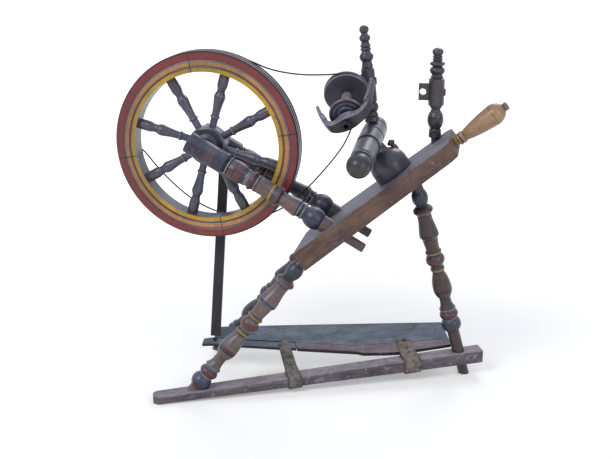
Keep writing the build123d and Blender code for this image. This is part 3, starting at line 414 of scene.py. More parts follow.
def wood_grain_group():
    made, start, end = group(
        "wood grain",
        [(VECTOR, "Place", None), (COLOUR, "Light", (0.3, 0.2, 0.1, 1)),
         (COLOUR, "Dark", (0.1, 0.06, 0.03, 1)), (NUMBER, "Contrast", 0.6)],
        [(COLOUR, "Colour"), (NUMBER, "Height")])
    place = start.outputs["Place"]
    streaks = noise(made, stretched(made, place, (0.45, 0.45, 0.022)), 1.0, 5.0, 0.6, 0.4)
    pores = noise(made, stretched(made, place, (1.7, 1.7, 0.06)), 1.0, 2.0)
    clouds = noise(made, stretched(made, place, (0.035, 0.035, 0.012)), 1.0, 3.0)
    mixed = plus(made, times(made, streaks, 0.55), times(made, clouds, 0.45))
    share = stepped(made, mixed, 0.36, 0.64)
    share = times(made, share, start.outputs["Contrast"])
    base = blended(made, share, start.outputs["Light"], start.outputs["Dark"])
    dark_pores = stepped(made, pores, 0.60, 0.72, 0.0, 0.35)
    final = blended(made, dark_pores, base, start.outputs["Dark"])
    link(made, final, end.inputs["Colour"])
    height = less(made, streaks, times(made, dark_pores, 0.8))
    link(made, height, end.inputs["Height"])
    return made


def rubbed_group():
    made, start, end = group(
        "rubbed places",
        [(VECTOR, "Place", None), (NUMBER, "Amount", 0.4), (NUMBER, "Size", 0.08)],
        [(NUMBER, "Worn"), (NUMBER, "Grime"), (NUMBER, "Roughness")])
    place = start.outputs["Place"]
    scaled = put(made, "ShaderNodeVectorMath", {"operation": "SCALE"}, Vector=place,
                 Scale=start.outputs["Size"]).outputs[0]
    patches = noise(made, scaled, 1.0, 6.0, 0.65)
    edge = less(made, 0.72, times(made, start.outputs["Amount"], 0.3))
    worn = put(made, "ShaderNodeMapRange", Value=patches, From_Min=edge,
               From_Max=plus(made, edge, 0.05)).outputs[0]
    link(made, worn, end.inputs["Worn"])
    smears = noise(made, stretched(made, scaled, (0.6, 0.6, 0.6)), 1.0, 3.0, 0.5, 0.8)
    link(made, stepped(made, smears, 0.45, 0.75), end.inputs["Grime"])
    specks = noise(made, place, 0.5, 3.0)
    link(made, stepped(made, specks, 0.2, 0.8, 0.28, 0.52), end.inputs["Roughness"])
    return made


def dust_and_sky_light_group():
    made, start, end = group(
        "dust on top",
        [(VECTOR, "Place", None), (VECTOR, "Facing", None), (COLOUR, "Colour", (1, 1, 1, 1)),
         (COLOUR, "Dust", (0.3, 0.33, 0.42, 1)), (NUMBER, "Amount", 0.35)],
        [(COLOUR, "Colour")])
    # What faces up is lightened to a pale blue-grey: partly dust, partly painted sky light
    lying = stepped(made, part_of(made, start.outputs["Facing"], "Z"), 0.05, 0.95)
    broken = stepped(made, noise(made, start.outputs["Place"], 0.07, 5.0, 0.6), 0.3, 0.7,
                     0.35, 1.0)
    share = times(made, times(made, lying, broken), start.outputs["Amount"])
    link(made, blended(made, share, start.outputs["Colour"], start.outputs["Dust"]),
         end.inputs["Colour"])
    return made


GRAIN = wood_grain_group()
RUBBED = rubbed_group()
DUST_AND_SKY_LIGHT = dust_and_sky_light_group()
print("groups", [g.name for g in (GRAIN, RUBBED, DUST_AND_SKY_LIGHT)])

# %% [markdown]
# A finish is a material made for one kind of surface. The wood under all of them reads its grain
# from the piece's own direction, so a finish is given a place and a way to run. Sheen and coat
# are plain numbers, set on the shader itself.

# %% Finish helpers
BLACK, WHITE, RED, YELLOW = "#15141a", "#9a9bab", "#5e2b2e", "#917d33"


def fresh(name, sheen=0.25, coat=0.0, coat_rough=0.25, metal=0.0):
    made = bpy.data.materials.new(name)
    made.use_nodes = True
    skin = made.node_tree.nodes["Principled BSDF"]
    skin.inputs["Specular IOR Level"].default_value = sheen
    skin.inputs["Coat Weight"].default_value = coat
    skin.inputs["Coat Roughness"].default_value = coat_rough
    skin.inputs["Metallic"].default_value = metal
    return made, made.node_tree


def place_along(tree, origin, way):
    # The piece's own place in millimetres, with Z running along it from its origin
    coords = tree.nodes.new("ShaderNodeTexCoord")
    made = put(tree, "ShaderNodeMapping", {"vector_type": "TEXTURE"},
               Vector=coords.outputs["Object"], Location=spot(*origin),
               Rotation=turned_to(way), Scale=(MM, MM, MM))
    return made.outputs[0], coords.outputs["Normal"]


def grouped(tree, shared, **values):
    made = tree.nodes.new("ShaderNodeGroup")
    made.node_tree = shared
    for name, value in values.items():
        feed(tree, made.inputs[name], value)
    return made.outputs


def grained(tree, place, light, dark, contrast=0.8):
    return grouped(tree, GRAIN, Place=place, Light=tint(light), Dark=tint(dark),
                   Contrast=contrast)


def worn(tree, place, amount=0.4, size=0.12):
    return grouped(tree, RUBBED, Place=place, Amount=amount, Size=size)


def finished(made, colour, roughness, height, depth=0.0003, strength=0.6):
    tree = made.node_tree
    skin = tree.nodes["Principled BSDF"]
    relief = put(tree, "ShaderNodeBump", Height=height, Strength=strength, Distance=depth)
    for name, value in (("Base Color", colour), ("Roughness", roughness),
                        ("Normal", relief.outputs[0])):
        link(tree, value, skin.inputs[name])
    return made


def washed(tree, colour, mask, strength, paint):
    # Lays paint or dirt over a colour where a mask says so
    return blended(tree, times(tree, mask, strength), colour, tint(paint))


def ring_ramps(tree, distance, bands):
    # Two ramps along the piece: the paint, and where there is paint at all
    low, high = bands[0][0], bands[-1][0] + 10.0
    share = put(tree, "ShaderNodeMapRange", Value=distance, From_Min=low, From_Max=high)
    ramps = []
    for kind in ("paint", "cover"):
        ramp = tree.nodes.new("ShaderNodeValToRGB")
        ramp.color_ramp.interpolation = "CONSTANT"
        stops = ramp.color_ramp.elements
        for index, (start, colour) in enumerate(bands):
            where = (start - low) / (high - low)
            stop = stops[index] if index < 2 else stops.new(where)
            stop.position = where
        ordered = sorted(stops, key=lambda stop: stop.position)
        for stop, (start, colour) in zip(ordered, bands):
            if kind == "paint":
                stop.color = tint(colour or "#000000")
            else:
                stop.color = (1, 1, 1, 1) if colour else (0, 0, 0, 1)
        link(tree, share.outputs[0], ramp.inputs[0])
        ramps.append(ramp.outputs[0])
    return ramps


def turned_finish(name, origin, way, light, dark, bands=None, coat=0.3, wear=0.35, dust_and_sky_light=0.35,
                  contrast=0.7, dust_and_sky_colour="#7f86a0"):
    made, tree = fresh(name, 0.35, coat, 0.22)
    place, facing = place_along(tree, origin, way)
    grain = grained(tree, place, light, dark, contrast)
    rubbed = worn(tree, place, wear, 0.09)
    colour = grain["Colour"]
    if bands:
        wobble = times(tree, noise(tree, place, 0.05, 2.0), 1.6)
        distance = plus(tree, part_of(tree, place, "Z"), less(tree, wobble, 0.8))
        paint, cover = ring_ramps(tree, distance, bands)
        paint = blended(tree, 0.35, paint, grain["Colour"], "OVERLAY")
        held = times(tree, cover, less(tree, 1.0, times(tree, rubbed["Worn"], 0.8)))
        colour = blended(tree, held, colour, paint)
    soiled = washed(tree, colour, rubbed["Grime"], 0.35, "#1c191d")
    # Dust and painted sky light on what faces up
    dusted_and_lit = grouped(tree, DUST_AND_SKY_LIGHT, Place=place, Facing=facing, Colour=soiled,
                     Dust=tint(dust_and_sky_colour), Amount=dust_and_sky_light)
    return finished(made, dusted_and_lit["Colour"], rubbed["Roughness"], grain["Height"])


def dress(finish, *nodes):
    for name in nodes:
        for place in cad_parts[name].material_slots:
            place.material = finish


# %% [markdown]
# The legs were turned alike and painted alike: black scribed lines, two yellow rings, a red bead
# near the foot and dark balls at both ends. The rings are listed once, in millimetres down from
# the top ball, and a None is bare stained wood. The front leg is lightest, the rear one darkest.

# %% Legs
# The blue-grey band from 101.5 to 106 mm, just after a black line, is a painted highlight
LEG_RINGS_AND_HIGHLIGHT = [
    (-60, "#2b3043"), (21, BLACK), (26, RED), (36, WHITE), (38.5, BLACK), (41.5, WHITE),
    (43.5, BLACK), (46, None), (98, BLACK), (101.5, "#454c6b"), (106, None), (144.5, BLACK),
    (147, YELLOW), (154, BLACK), (156.5, None), (163, "#5e3533"), (182, None), (192, BLACK),
    (195.5, YELLOW), (203.5, BLACK), (206, None), (250, RED), (256, "#1b2036"), (263, None),
    (313, WHITE), (315.5, BLACK), (318.5, WHITE), (320.5, BLACK), (324, RED), (342, WHITE),
    (345, "#343a52"), (374, None),
]
print("leg rings", len(LEG_RINGS_AND_HIGHLIGHT))
for leg_node, leg_ends, light, dark in (
        ("leg_front_left", LEG_LEFT, "#735f58", "#392e34"),
        ("leg_rear_left", LEG_REAR, "#3b333c", "#191720"),
        ("leg_right", LEG_RIGHT, "#4b3834", "#221a1d")):
    dress(turned_finish(leg_node + "_paint", leg_ends[0], along(*leg_ends), light, dark,
                        LEG_RINGS_AND_HIGHLIGHT), leg_node)

# %% [markdown]
# The two posts that hold the axle carry more paint: a reddish barrel between white lines, a red
# disc, a pale taper and one yellow ring. The rear post is the same, but darker, and more rubbed.

# %% Wheel posts
POST_RINGS = [
    (-40, None), (66, BLACK), (69, "#4f5162"), (72, BLACK), (74, WHITE), (76.5, BLACK),
    (80, "#5c3332"), (93, "#272c41"), (97, "#633532"), (112, "#2b3046"), (121, "#553431"),
    (124.5, BLACK), (126.5, WHITE), (128.5, BLACK), (131, WHITE), (133, RED), (149, BLACK),
    (151.5, WHITE), (154, BLACK), (157, None), (193.5, "#b29a3a"), (199, BLACK),
    (203, "#3b3644"), (210, "#75402f"), (216, "#37364a"), (223, None), (268, BLACK),
    (271, WHITE), (274, BLACK), (283, WHITE), (286, "#2c3148"), (334, None),
]
# The dark blue bands of the front post's head, either side of a reddish band, are painted sheen
HEAD_RINGS_WITH_SHEEN = [(-40, "#2e3048"), (16, "#583a44"), (36, "#2c2e44")]
print("post rings", len(HEAD_RINGS_WITH_SHEEN) + len(POST_RINGS))
dress(turned_finish("front_post_paint", (0, -60.0, 0), POST_WAY, "#6f574d", "#352c36",
                    HEAD_RINGS_WITH_SHEEN + POST_RINGS[3:], wear=0.3), "wheel_post_front")
dress(turned_finish("rear_post_paint", (0, 60.0, 0), POST_WAY, "#3d3033", "#1b1820", POST_RINGS,
                    wear=0.6, dust_and_sky_light=0.25), "wheel_post_rear")

# %% [markdown]
# Maidens, the mother-of-all and the hub are stained nearly black, and shine where hands held
# them. Their grooves keep a little old red, the bar has a thin pale ring at the base of its ball,
# and the thin grey rings on the maidens' beads are painted highlights.

# %% Dark turned pieces
BAR_RINGS = [
    (-236, "#3a2e33"), (-231, "#22222e"), (-205, "#191821"), (-183, "#7d7b8d"), (-181, BLACK),
    (-178, "#55525f"), (-168, "#402a27"), (-163, "#63606e"), (-90, "#4c4b5b"), (-69, "#38282a"),
    (-52, "#3c3f52"), (16, "#2a2326"), (23, "#363949"), (88, "#2d2426"), (97, "#333544"),
    (124, "#22232c"),
]
dress(turned_finish("bar_stain", BAR_CROSSING, BAR_WAY, "#5a5562", "#2c2b36", BAR_RINGS,
                    wear=0.3, dust_and_sky_light=0.16), "mother_bar")
dress(turned_finish("stem_stain", on_table(-160.0, 6.0, 0), OUT_OF_TABLE, "#3f3a45", "#191820",
                    coat=0.45, dust_and_sky_light=0.25), "mother_stem")
dress(turned_finish("knob_paint", on_table(-125.0, 16.0, 45.0), OUT_OF_TABLE, "#5b2a30",
                    "#2f171c", coat=0.5, dust_and_sky_light=0.2), "stem_knob")
# Grey bands at 198 and 240 mm are painted highlights on the beads; the reddish ones are old paint
MAIDEN_RINGS_AND_HIGHLIGHTS = [
    (-60, None), (44, "#4d3330"), (49, BLACK), (52, None), (153, "#4a2f2c"), (159, BLACK),
    (162, None), (178, "#4f3530"), (184, None), (198, "#5a5b6a"), (201, None), (214, "#5a3a33"),
    (219, BLACK), (222, None), (240, "#55565f"), (243, None), (258, "#523630"),
]
dress(turned_finish("rear_maiden_stain", REAR_MAIDEN_FOOT, MAIDEN_WAY, "#3a3a49", "#16161d",
                    MAIDEN_RINGS_AND_HIGHLIGHTS, dust_and_sky_light=0.2), "rear_maiden", "rear_bearing", "rear_peg")
dress(turned_finish("front_maiden_stain", (546.0, 70.0, 0), (0, 0, 1), "#463f43", "#1a181d",
                    [(start + 22, colour) for start, colour in MAIDEN_RINGS_AND_HIGHLIGHTS], dust_and_sky_light=0.2),
      "front_maiden", "front_bearing", "front_peg")
HUB_RINGS = [(-31, "#31344a"), (-24, BLACK), (-21, "#3a3e54"), (20, BLACK), (24, "#31344a")]
dress(turned_finish("hub_stain", (0, 0, 0), (0, 1, 0), "#45475c", "#1d1d27", HUB_RINGS,
                    coat=0.4, dust_and_sky_light=0.4), "hub")
print("dark pieces dressed")

# %% [markdown]
# The rim is what the eye goes to: bands of dark red, orange and yellow with thin blue-grey lines
# between them, drawn with a compass on both faces. The distance from the axle picks the colour,
# so the bands are true circles. The four joints of the felloes show as thin dark cracks, and
# only the two faces are painted: the tread and the inside are bare grey wood.

# %% Rim
RIM_BANDS = [
    (170.0, "#cfa62c"), (190.4, "#20243c"), (192.4, "#a98a66"), (193.4, "#262a48"),
    (195.6, "#c79054"), (205.6, "#2c3150"), (207.4, "#9a9cb0"), (208.6, "#37293e"),
    (210.6, "#8f2f2b"), (225.6, "#331c22"), (229.0, "#48465a"),
]
FIRST_JOINT = 10.0


def round_axis(tree, place, first, second):
    # The parts of a place, its distance from a piece's axis, and its turn about it
    parts = put(tree, "ShaderNodeSeparateXYZ", Vector=place).outputs
    flat = put(tree, "ShaderNodeCombineXYZ", X=parts[first], Y=parts[second])
    turn = math_node(tree, "ARCTAN2", parts[second], parts[first])
    return parts, length_of(tree, flat.outputs[0]), turn


def about_axle(tree):
    place, facing = place_along(tree, (0, 0, 0), (0, 0, 1))
    return place, facing, *round_axis(tree, place, "X", "Z")


def rim_finish():
    made, tree = fresh("rim_paint", 0.35, 0.25, 0.3)
    place, facing, parts, reach, turn = about_axle(tree)
    wrapped = put(tree, "ShaderNodeCombineXYZ", X=reach, Y=parts["Y"],
                  Z=times(tree, turn, 210.0)).outputs[0]
    grain = grained(tree, wrapped, "#6b6a7c", "#3a3946")
    rubbed = worn(tree, wrapped, 0.30, 0.10)
    wobble = times(tree, noise(tree, place, 0.03, 3.0), 1.4)
    distance = plus(tree, reach, less(tree, wobble, 0.7))
    paint, cover = ring_ramps(tree, distance, RIM_BANDS)
    # Old paint has darkened in clouds, and the paint is darker towards the left of the wheel
    clouds = stepped(tree, noise(tree, place, 0.012, 4.0), 0.35, 0.7)
    left = stepped(tree, parts["X"], -60.0, -230.0)
    aged_and_left_darker = times(tree, math_node(tree, "MAXIMUM", left, clouds), 0.42)
    paint = blended(tree, aged_and_left_darker, paint, tint("#4a2a2c"))
    paint = blended(tree, 0.35, paint, grain["Colour"], "OVERLAY")
    scratches = noise(tree, stretched(tree, wrapped, (1.6, 0.4, 0.05)), 1.0, 3.0)
    paint = blended(tree, stepped(tree, scratches, 0.62, 0.75, 0.0, 0.55), paint, tint("#3c2c2e"))
    face = math_node(tree, "ABSOLUTE", part_of(tree, facing, "Y"))
    painted = stepped(tree, face, 0.35, 0.6)
    painted = times(tree, painted, less(tree, 1.0, times(tree, rubbed["Worn"], 0.5)))
    # The inside of the rim is darker than its tread
    inside = stepped(tree, reach, 176.0, 184.0, 0.6, 0.0)
    bare = blended(tree, inside, grain["Colour"], tint("#1d1c26"))
    colour = blended(tree, painted, bare, paint)
    for joint in range(2):
        a = math.radians(FIRST_JOINT + 90.0 * joint)
        off = less(tree, times(tree, parts["X"], math.sin(a)),
                   times(tree, parts["Z"], math.cos(a)))
        crack = stepped(tree, math_node(tree, "ABSOLUTE", off), 0.7, 1.9, 0.95, 0.0)
        colour = blended(tree, crack, colour, tint("#17141a"))
    colour = washed(tree, colour, rubbed["Grime"], 0.25, "#1f1a1c")
    return finished(made, colour, rubbed["Roughness"], grain["Height"], 0.0002)


def spoke_finish():
    # One finish for all eight: the grain and the rings follow the distance from the axle
    made, tree = fresh("spoke_stain", 0.4, 0.35, 0.22)
    place, facing, parts, reach, turn = about_axle(tree)
    wrapped = put(tree, "ShaderNodeCombineXYZ", X=parts["Y"], Y=times(tree, turn, 100.0),
                  Z=reach).outputs[0]
    grain = grained(tree, wrapped, "#4c4c5e", "#201e28")
    rubbed = worn(tree, place)
    paint, cover = ring_ramps(tree, reach, [
        (40, None), (70.5, "#5e6076"), (73.5, None), (125.5, "#565870"), (128.5, None),
        (137, "#1b1a22"), (139.5, None), (157, "#4d3732"), (160, None), (170, "#443532")])
    colour = blended(tree, cover, grain["Colour"], paint)
    colour = washed(tree, colour, rubbed["Worn"], 0.5, "#6a5148")
    # Dust and painted sky light on what faces up
    dusted_and_lit = grouped(tree, DUST_AND_SKY_LIGHT, Place=place, Facing=facing, Colour=colour,
                     Dust=tint("#6f7690"), Amount=0.3)
    return finished(made, dusted_and_lit["Colour"], rubbed["Roughness"], grain["Height"])


dress(rim_finish(), *[f"felloe_{n}" for n in range(1, 5)])
dress(spoke_finish(), *[f"spoke_{n}" for n in range(1, 9)])
print("wheel dressed")

# %% [markdown]
# Sawn pieces are left as they wore, with painted sky light on their tops: the table's top is
# painted grey and bluish as the sky lights it, and its sides keep their brown. Each sawn finish
# has a lit colour for its top face and one for the rest, told apart by the way the surface faces,
# with pale worn edges from a second noise.

# %% Sawn wood
def sawn_finish(name, origin, way, lit_way, top, sides, coat=0.0, wear=0.35, edge="#a09aa6",
                scratch=0.5):
    made, tree = fresh(name, 0.3, coat, 0.3)
    place, facing = place_along(tree, origin, way)
    lit_top_grain = grained(tree, place, top[0], top[1], 0.85)
    lower = grained(tree, place, sides[0], sides[1], 0.85)
    # Painted sky light: the top face (the footman's front) takes the lighter, bluer top colour
    ragged = plus(tree, facing_by(tree, facing, lit_way),
                  times(tree, noise(tree, place, 0.25, 4.0), 0.5))
    lit_top_share = stepped(tree, ragged, 0.75, 1.15)
    colour = blended(tree, lit_top_share, lower["Colour"], lit_top_grain["Colour"])
    rubbed = worn(tree, place, wear, 0.05)
    colour = blended(tree, times(tree, rubbed["Worn"], 0.45), colour, tint(edge))
    colour = washed(tree, colour, rubbed["Grime"], 0.35, "#211c20")
    scratches = noise(tree, stretched(tree, place, (0.9, 0.9, 0.03)), 1.0, 2.0, 0.5, 1.5)
    colour = blended(tree, stepped(tree, scratches, 0.66, 0.74, 0.0, scratch), colour,
                     tint("#2a2326"))
    rough = plus(tree, rubbed["Roughness"], 0.15)
    return finished(made, colour, rough, lit_top_grain["Height"], 0.0004)


dress(sawn_finish("table_worn_lit_top", tuple(on_table(0, 0, 0)), UP_TABLE, tuple(OUT_OF_TABLE),
                  ("#82808e", "#55525f"), ("#6f574a", "#443437")), "table")
dress(sawn_finish("rail_worn_lit_top", tuple(RAIL_LEFT), RAIL_WAY, (0, 0, 1),
                  ("#9b9199", "#6c656d"), ("#6b6268", "#3c373d"), wear=0.5), "foot_rail")
treadle_tilt = math.radians(20.0)
RAIL_BACK = Vector((-RAIL_WAY.y, RAIL_WAY.x, 0)).normalized()
TREADLE_OUT = (RAIL_WAY.cross(RAIL_BACK) * math.cos(treadle_tilt)
               - RAIL_BACK * math.sin(treadle_tilt)).normalized()
dress(sawn_finish("board_worn_lit_top", tuple(RAIL_LEFT), RAIL_WAY, tuple(TREADLE_OUT),
                  ("#727c8a", "#4b515c"), ("#3a3a44", "#26252c"), wear=0.15, edge="#7f8796",
                  scratch=0.25),
      "treadle_board", "treadle_bar")
dress(sawn_finish("strip_worn_lit_top", tuple(RAIL_LEFT), RAIL_WAY, tuple(TREADLE_OUT),
                  ("#857a80", "#5d5054"), ("#4c4247", "#2c272b"), wear=0.3), "treadle_strip")
dress(sawn_finish("footman_black_lit_front", (0, 104.0, 0), (0, 0, 1), (0, -1, 0),
                  ("#2e2d36", "#141319"), ("#24232a", "#0f0e13"), coat=0.15, wear=0.15,
                  edge="#4a4a58"), "footman")
print("sawn pieces dressed")

# %% [markdown]
# The tension handle is the lightest piece: honey-coloured fruitwood, polished by the hand, with
# a darker tip and two scribed rings at its neck.

# %% Handle
HANDLE_RINGS = [
    (0, "#9a8052"), (9, "#5c4128"), (11, "#a38a5c"), (14.5, "#4e3722"), (17, None),
    (24.5, "#5c4128"), (27, None), (108, "#6c4c30"), (110, None), (134, "#5a4a44"),
    (139, "#7c6655"),
]
dress(turned_finish("handle_wax", tuple(on_table(0, 6.0, -21.0)), UP_TABLE, "#a4825f", "#6c4f38",
                    HANDLE_RINGS, coat=0.35, wear=0.2, dust_and_sky_light=0.15, dust_and_sky_colour="#a8a2a2"),
      "tension_handle")
dress(turned_finish("screw_wood", tuple(on_table(0, 6.0, -21.0)), UP_TABLE, "#9c7a52", "#6a4c30",
                    coat=0.1, dust_and_sky_light=0.1), "tension_screw")

# %% [markdown]
# Iron is forged and dull, with brown rust in its hollows. It keeps a plain metallic number, and
# only the colour and the roughness change over the surface.

# %% Iron
def iron_finish(name, light="#4c4a50", rust="#3a2a24"):
    made, tree = fresh(name, 0.5, metal=0.85)
    place, facing = place_along(tree, (0, 0, 0), (0, 0, 1))
    spots = noise(tree, place, 0.35, 6.0, 0.7)
    rusty = stepped(tree, spots, 0.42, 0.62)
    colour = blended(tree, rusty, tint(light), tint(rust))
    return finished(made, colour, stepped(tree, spots, 0.3, 0.7, 0.32, 0.7), spots, 0.0002, 0.4)


dress(iron_finish("forged_iron"), "axle_crank", "axle_pins", "footman_hook", "strap_nail",
      "flyer_hooks")
dress(iron_finish("spindle_iron", "#3c3b46", "#17161b"), "flyer_spindle")

# %% [markdown]
# The flyer, its pulley and the bobbin are one set of small dark turnings, greyer and dustier
# than the rest because fluff sticks to them; what faces up also gets painted sky light.

# %% Flyer set
dress(turned_finish("pulley_stain", tuple(BEARING), FLYER_WAY, "#585562", "#2f2d36",
                    [(-20, None), (38, "#6c6a78"), (40, None), (55, "#6c6a78"), (56.8, None)],
                    coat=0.15, dust_and_sky_light=0.3, contrast=0.9), "whorl")
print("all nodes dressed")

# %% [markdown]
# The flyer is carved from one piece of wood: a thick base round the spindle, and two arms that
# thin out to square tips. A modeller's way to carve it is to start from the square end of one
# arm and pull its face along, turning and swelling it at each step, round to the other tip. It
# is drawn upright first, then seated on the spindle in one turn.

# %% Carved flyer
FLYER_SIDE = Vector((0.88, 0.0, 0.47))
FLYER_X = (FLYER_SIDE - FLYER_WAY * FLYER_SIDE.dot(FLYER_WAY)).normalized()
FLYER_Y = FLYER_WAY.cross(FLYER_X)


def seated(thing, origin, across, way):
    # Moves a piece that was drawn upright to its own place and direction
    third = Vector(way).cross(Vector(across))
    turn = Matrix((across, third, way)).transposed().to_4x4()
    thing.matrix_world = Matrix.Translation(spot(*origin)) @ turn
    return settle(thing)


def tidied(thing):
    # Merges doubles and turns every face outwards
    only(thing)
    edit_all()
    bpy.ops.mesh.remove_doubles(threshold=0.01 * MM)
    bpy.ops.mesh.normals_make_consistent(inside=False)
    leave_edit()
    return thing


def applied(thing, kind, **settings):
    only(thing)
    made = thing.modifiers.new(kind.lower(), kind)
    for name, value in settings.items():
        setattr(made, name, value)
    bpy.ops.object.modifier_apply(modifier=made.name)
    return thing


def eased(thing, width, angle):
    # Rounds the edges that are sharper than an angle
    applied(thing, "BEVEL", width=width * MM, segments=2, limit_method="ANGLE",
            angle_limit=math.radians(angle))


def smooth(angle):
    bpy.ops.object.shade_smooth_by_angle(angle=math.radians(angle))


# Place in the plane of the arms, how far it hangs below it, the turn of the section, its width
# and its thickness
HALF_FLYER = [
    (72.0, 50.0, 0.0, 0.0, 8.0, 9.0), (70.6, 62.0, 0.0, 7.0, 8.5, 9.5),
    (68.0, 80.0, 0.5, 9.0, 9.0, 10.0), (64.6, 98.0, 1.0, 12.0, 9.5, 11.5),
    (60.6, 116.0, 2.0, 14.0, 10.5, 13.5), (56.0, 133.0, 3.2, 18.0, 12.0, 16.0),
    (50.0, 150.0, 4.4, 26.0, 14.0, 19.5), (43.0, 161.5, 5.0, 42.0, 17.0, 22.0),
    (34.0, 169.5, 4.8, 60.0, 22.0, 22.5), (22.0, 173.5, 3.6, 78.0, 27.0, 27.0),
    (9.0, 174.5, 2.6, 86.0, 31.0, 33.0),
]
LEFT_SPREAD = 7.0
FLYER_STEPS = HALF_FLYER + [
    (-x - LEFT_SPREAD * max(0.0, (150.0 - z) / 100.0), z, drop, 180.0 - turn, wide, thick)
    for x, z, drop, turn, wide, thick in reversed(HALF_FLYER)]

deselect()
first = FLYER_STEPS[0]
bpy.ops.mesh.primitive_plane_add(
    size=1.0, location=(first[0] * MM, -first[2] * MM, first[1] * MM))
flyer = bpy.context.object
flyer.name = "flyer_carved"
flyer.scale = (first[4] * MM, first[5] * MM, 1.0)
settle(flyer)
edit_all()
for before, here in zip(FLYER_STEPS, FLYER_STEPS[1:]):
    middle = Vector((here[0], -here[2], here[1])) * MM
    step = middle - Vector((before[0], -before[2], before[1])) * MM
    bpy.ops.mesh.extrude_region_move(TRANSFORM_OT_translate={"value": step})
    bpy.ops.transform.rotate(value=math.radians(here[3] - before[3]), orient_axis="Y",
                             center_override=middle)
    grow = here[4] / before[4]
    bpy.ops.transform.resize(value=(grow, here[5] / before[5], grow), center_override=middle)
leave_edit()
tidied(flyer)
print("flyer ends", [round(c / MM, 1) for c in flyer.bound_box[0]],
      [round(c / MM, 1) for c in flyer.bound_box[6]])
eased(flyer, 1.6, 40)
applied(flyer, "SUBSURF", levels=2, render_levels=2)

# The bore for the spindle's head
deselect()
bpy.ops.mesh.primitive_cylinder_add(vertices=48, radius=10.4 * MM, depth=80 * MM,
                                    location=(0, 0, 182 * MM))
drill = bpy.context.object
applied(flyer, "BOOLEAN", operation="DIFFERENCE", object=drill)
bpy.data.objects.remove(drill)
tidied(flyer)
seated(flyer, BEARING, FLYER_X, FLYER_WAY)
smooth(35)
print("flyer", len(flyer.data.polygons), "faces")

# %% [markdown]
# Bent wires stand along both arms and lead the yarn to the bobbin. One is made from a ring of
# wire that is cut in half, so that it stands like a staple, and is then copied along the arm,
# each copy with its own mesh. The right arm has a close row, and the left one a few bigger ones.

# %% Flyer wires
def wire_staple(radius, thick):
    deselect()
    bpy.ops.mesh.primitive_torus_add(major_radius=radius * MM, minor_radius=thick * MM,
                                     major_segments=20, minor_segments=8)
    made = bpy.context.object
    edit_all()
    bpy.ops.mesh.bisect(plane_co=(0, -0.6 * radius * MM, 0), plane_no=(0, 1, 0),
                        clear_inner=True, use_fill=True)
    leave_edit()
    return made


def arm_place(z, side):
    # Middle of the arm's top face beside a height z
    arm = HALF_FLYER if side > 0 else FLYER_STEPS[:len(HALF_FLYER) - 1:-1]
    for low, high in zip(arm, arm[1:]):
        if low[1] <= z <= high[1]:
            share = (z - low[1]) / (high[1] - low[1])
            x, top = [a + (b - a) * share for a, b in
                      ((low[0], high[0]), (low[5] / 2 - low[2], high[5] / 2 - high[2]))]
            return x, top
    raise ValueError(z)


wires = []
for side, first_z, spacing, count, radius in ((1, 54.0, 6.2, 14, 4.2), (-1, 112.0, 8.5, 4, 5.4)):
    for number in range(count):
        z = first_z + spacing * number
        x, top = arm_place(z, side)
        one = wire_staple(radius, 1.05)
        one.location = ((x - side * 2.2) * MM, (top + 0.35 * radius) * MM, z * MM)
        one.rotation_euler = (0, 0, side * math.radians(42))
        wires.append(settle(one))
wires = joined("flyer_wires", wires)
seated(wires, BEARING, FLYER_X, FLYER_WAY)
bpy.ops.object.shade_smooth()
print("wires", len(wires.data.polygons), "faces")

# %% [markdown]
# The bobbin is nearly empty: behind its flange it narrows like a bell to a bare neck, and a
# little yarn is left there. It is turned on a lathe, and here it is made the same way: a circle
# is pulled up from station to station and scaled to each radius, out along the skin and back
# down the bore.

# %% Bobbin
def lathed(name, stations, sides=72):
    start_z, start_r = stations[0]
    deselect()
    bpy.ops.mesh.primitive_circle_add(vertices=sides, radius=start_r * MM,
                                      location=(0, 0, start_z * MM))
    made = bpy.context.object
    made.name = name
    settle(made)
    edit_all()
    for (low, thin), (high, wide) in zip(stations, stations[1:]):
        bpy.ops.mesh.extrude_region_move(
            TRANSFORM_OT_translate={"value": (0, 0, (high - low) * MM)})
        grow = wide / thin
        bpy.ops.transform.resize(value=(grow, grow, 1.0), center_override=(0, 0, high * MM))
    leave_edit()
    return tidied(made)


BOBBIN_BORE = 5.4
BOBBIN_SHAPE = [
    (60.0, BOBBIN_BORE), (60.0, 12.0), (61.0, 13.0), (64.0, 13.0), (65.5, 11.5), (66.0, 9.6),
    (75.0, 9.2), (90.0, 9.8), (100.0, 13.5), (110.0, 20.5), (122.0, 27.5), (134.0, 33.0),
    (139.0, 36.0), (141.0, 38.6), (143.5, 39.9), (146.5, 39.9), (149.0, 38.0), (149.0, 34.5),
    (147.4, 33.6), (147.4, 29.0), (148.6, 28.0), (148.6, 25.5), (147.2, 24.6), (147.2, 20.0),
    (148.6, 18.8), (149.0, 12.0), (149.0, BOBBIN_BORE), (60.0, BOBBIN_BORE),
]
bobbin = lathed("bobbin_turned", BOBBIN_SHAPE)
eased(bobbin, 0.35, 50)
seated(bobbin, BEARING, FLYER_X, FLYER_WAY)
smooth(35)
print("bobbin", len(bobbin.data.polygons), "faces")

# %% [markdown]
# Wound yarn never lies as neat rings: each layer crosses the last at a slant. The yarn is one
# thick line that runs up and down the neck several times while it turns, a little further out
# with each layer, over a plain core of the same yarn that closes the gaps.

# %% Yarn
YARN_THICK = 1.5
YARN_LOW, YARN_HIGH = 67.5, 101.0
YARN_LAYERS = 5
TURNS_PER_LAYER = 9
POINTS_PER_TURN = 10
NECK_LOW, NECK_HIGH = 66.5, 133.0


def neck_radius(z):
    for (low, thin), (high, wide) in zip(BOBBIN_SHAPE[5:], BOBBIN_SHAPE[6:]):
        if low <= z <= high:
            return thin + (wide - thin) * (z - low) / (high - low)
    raise ValueError(z)


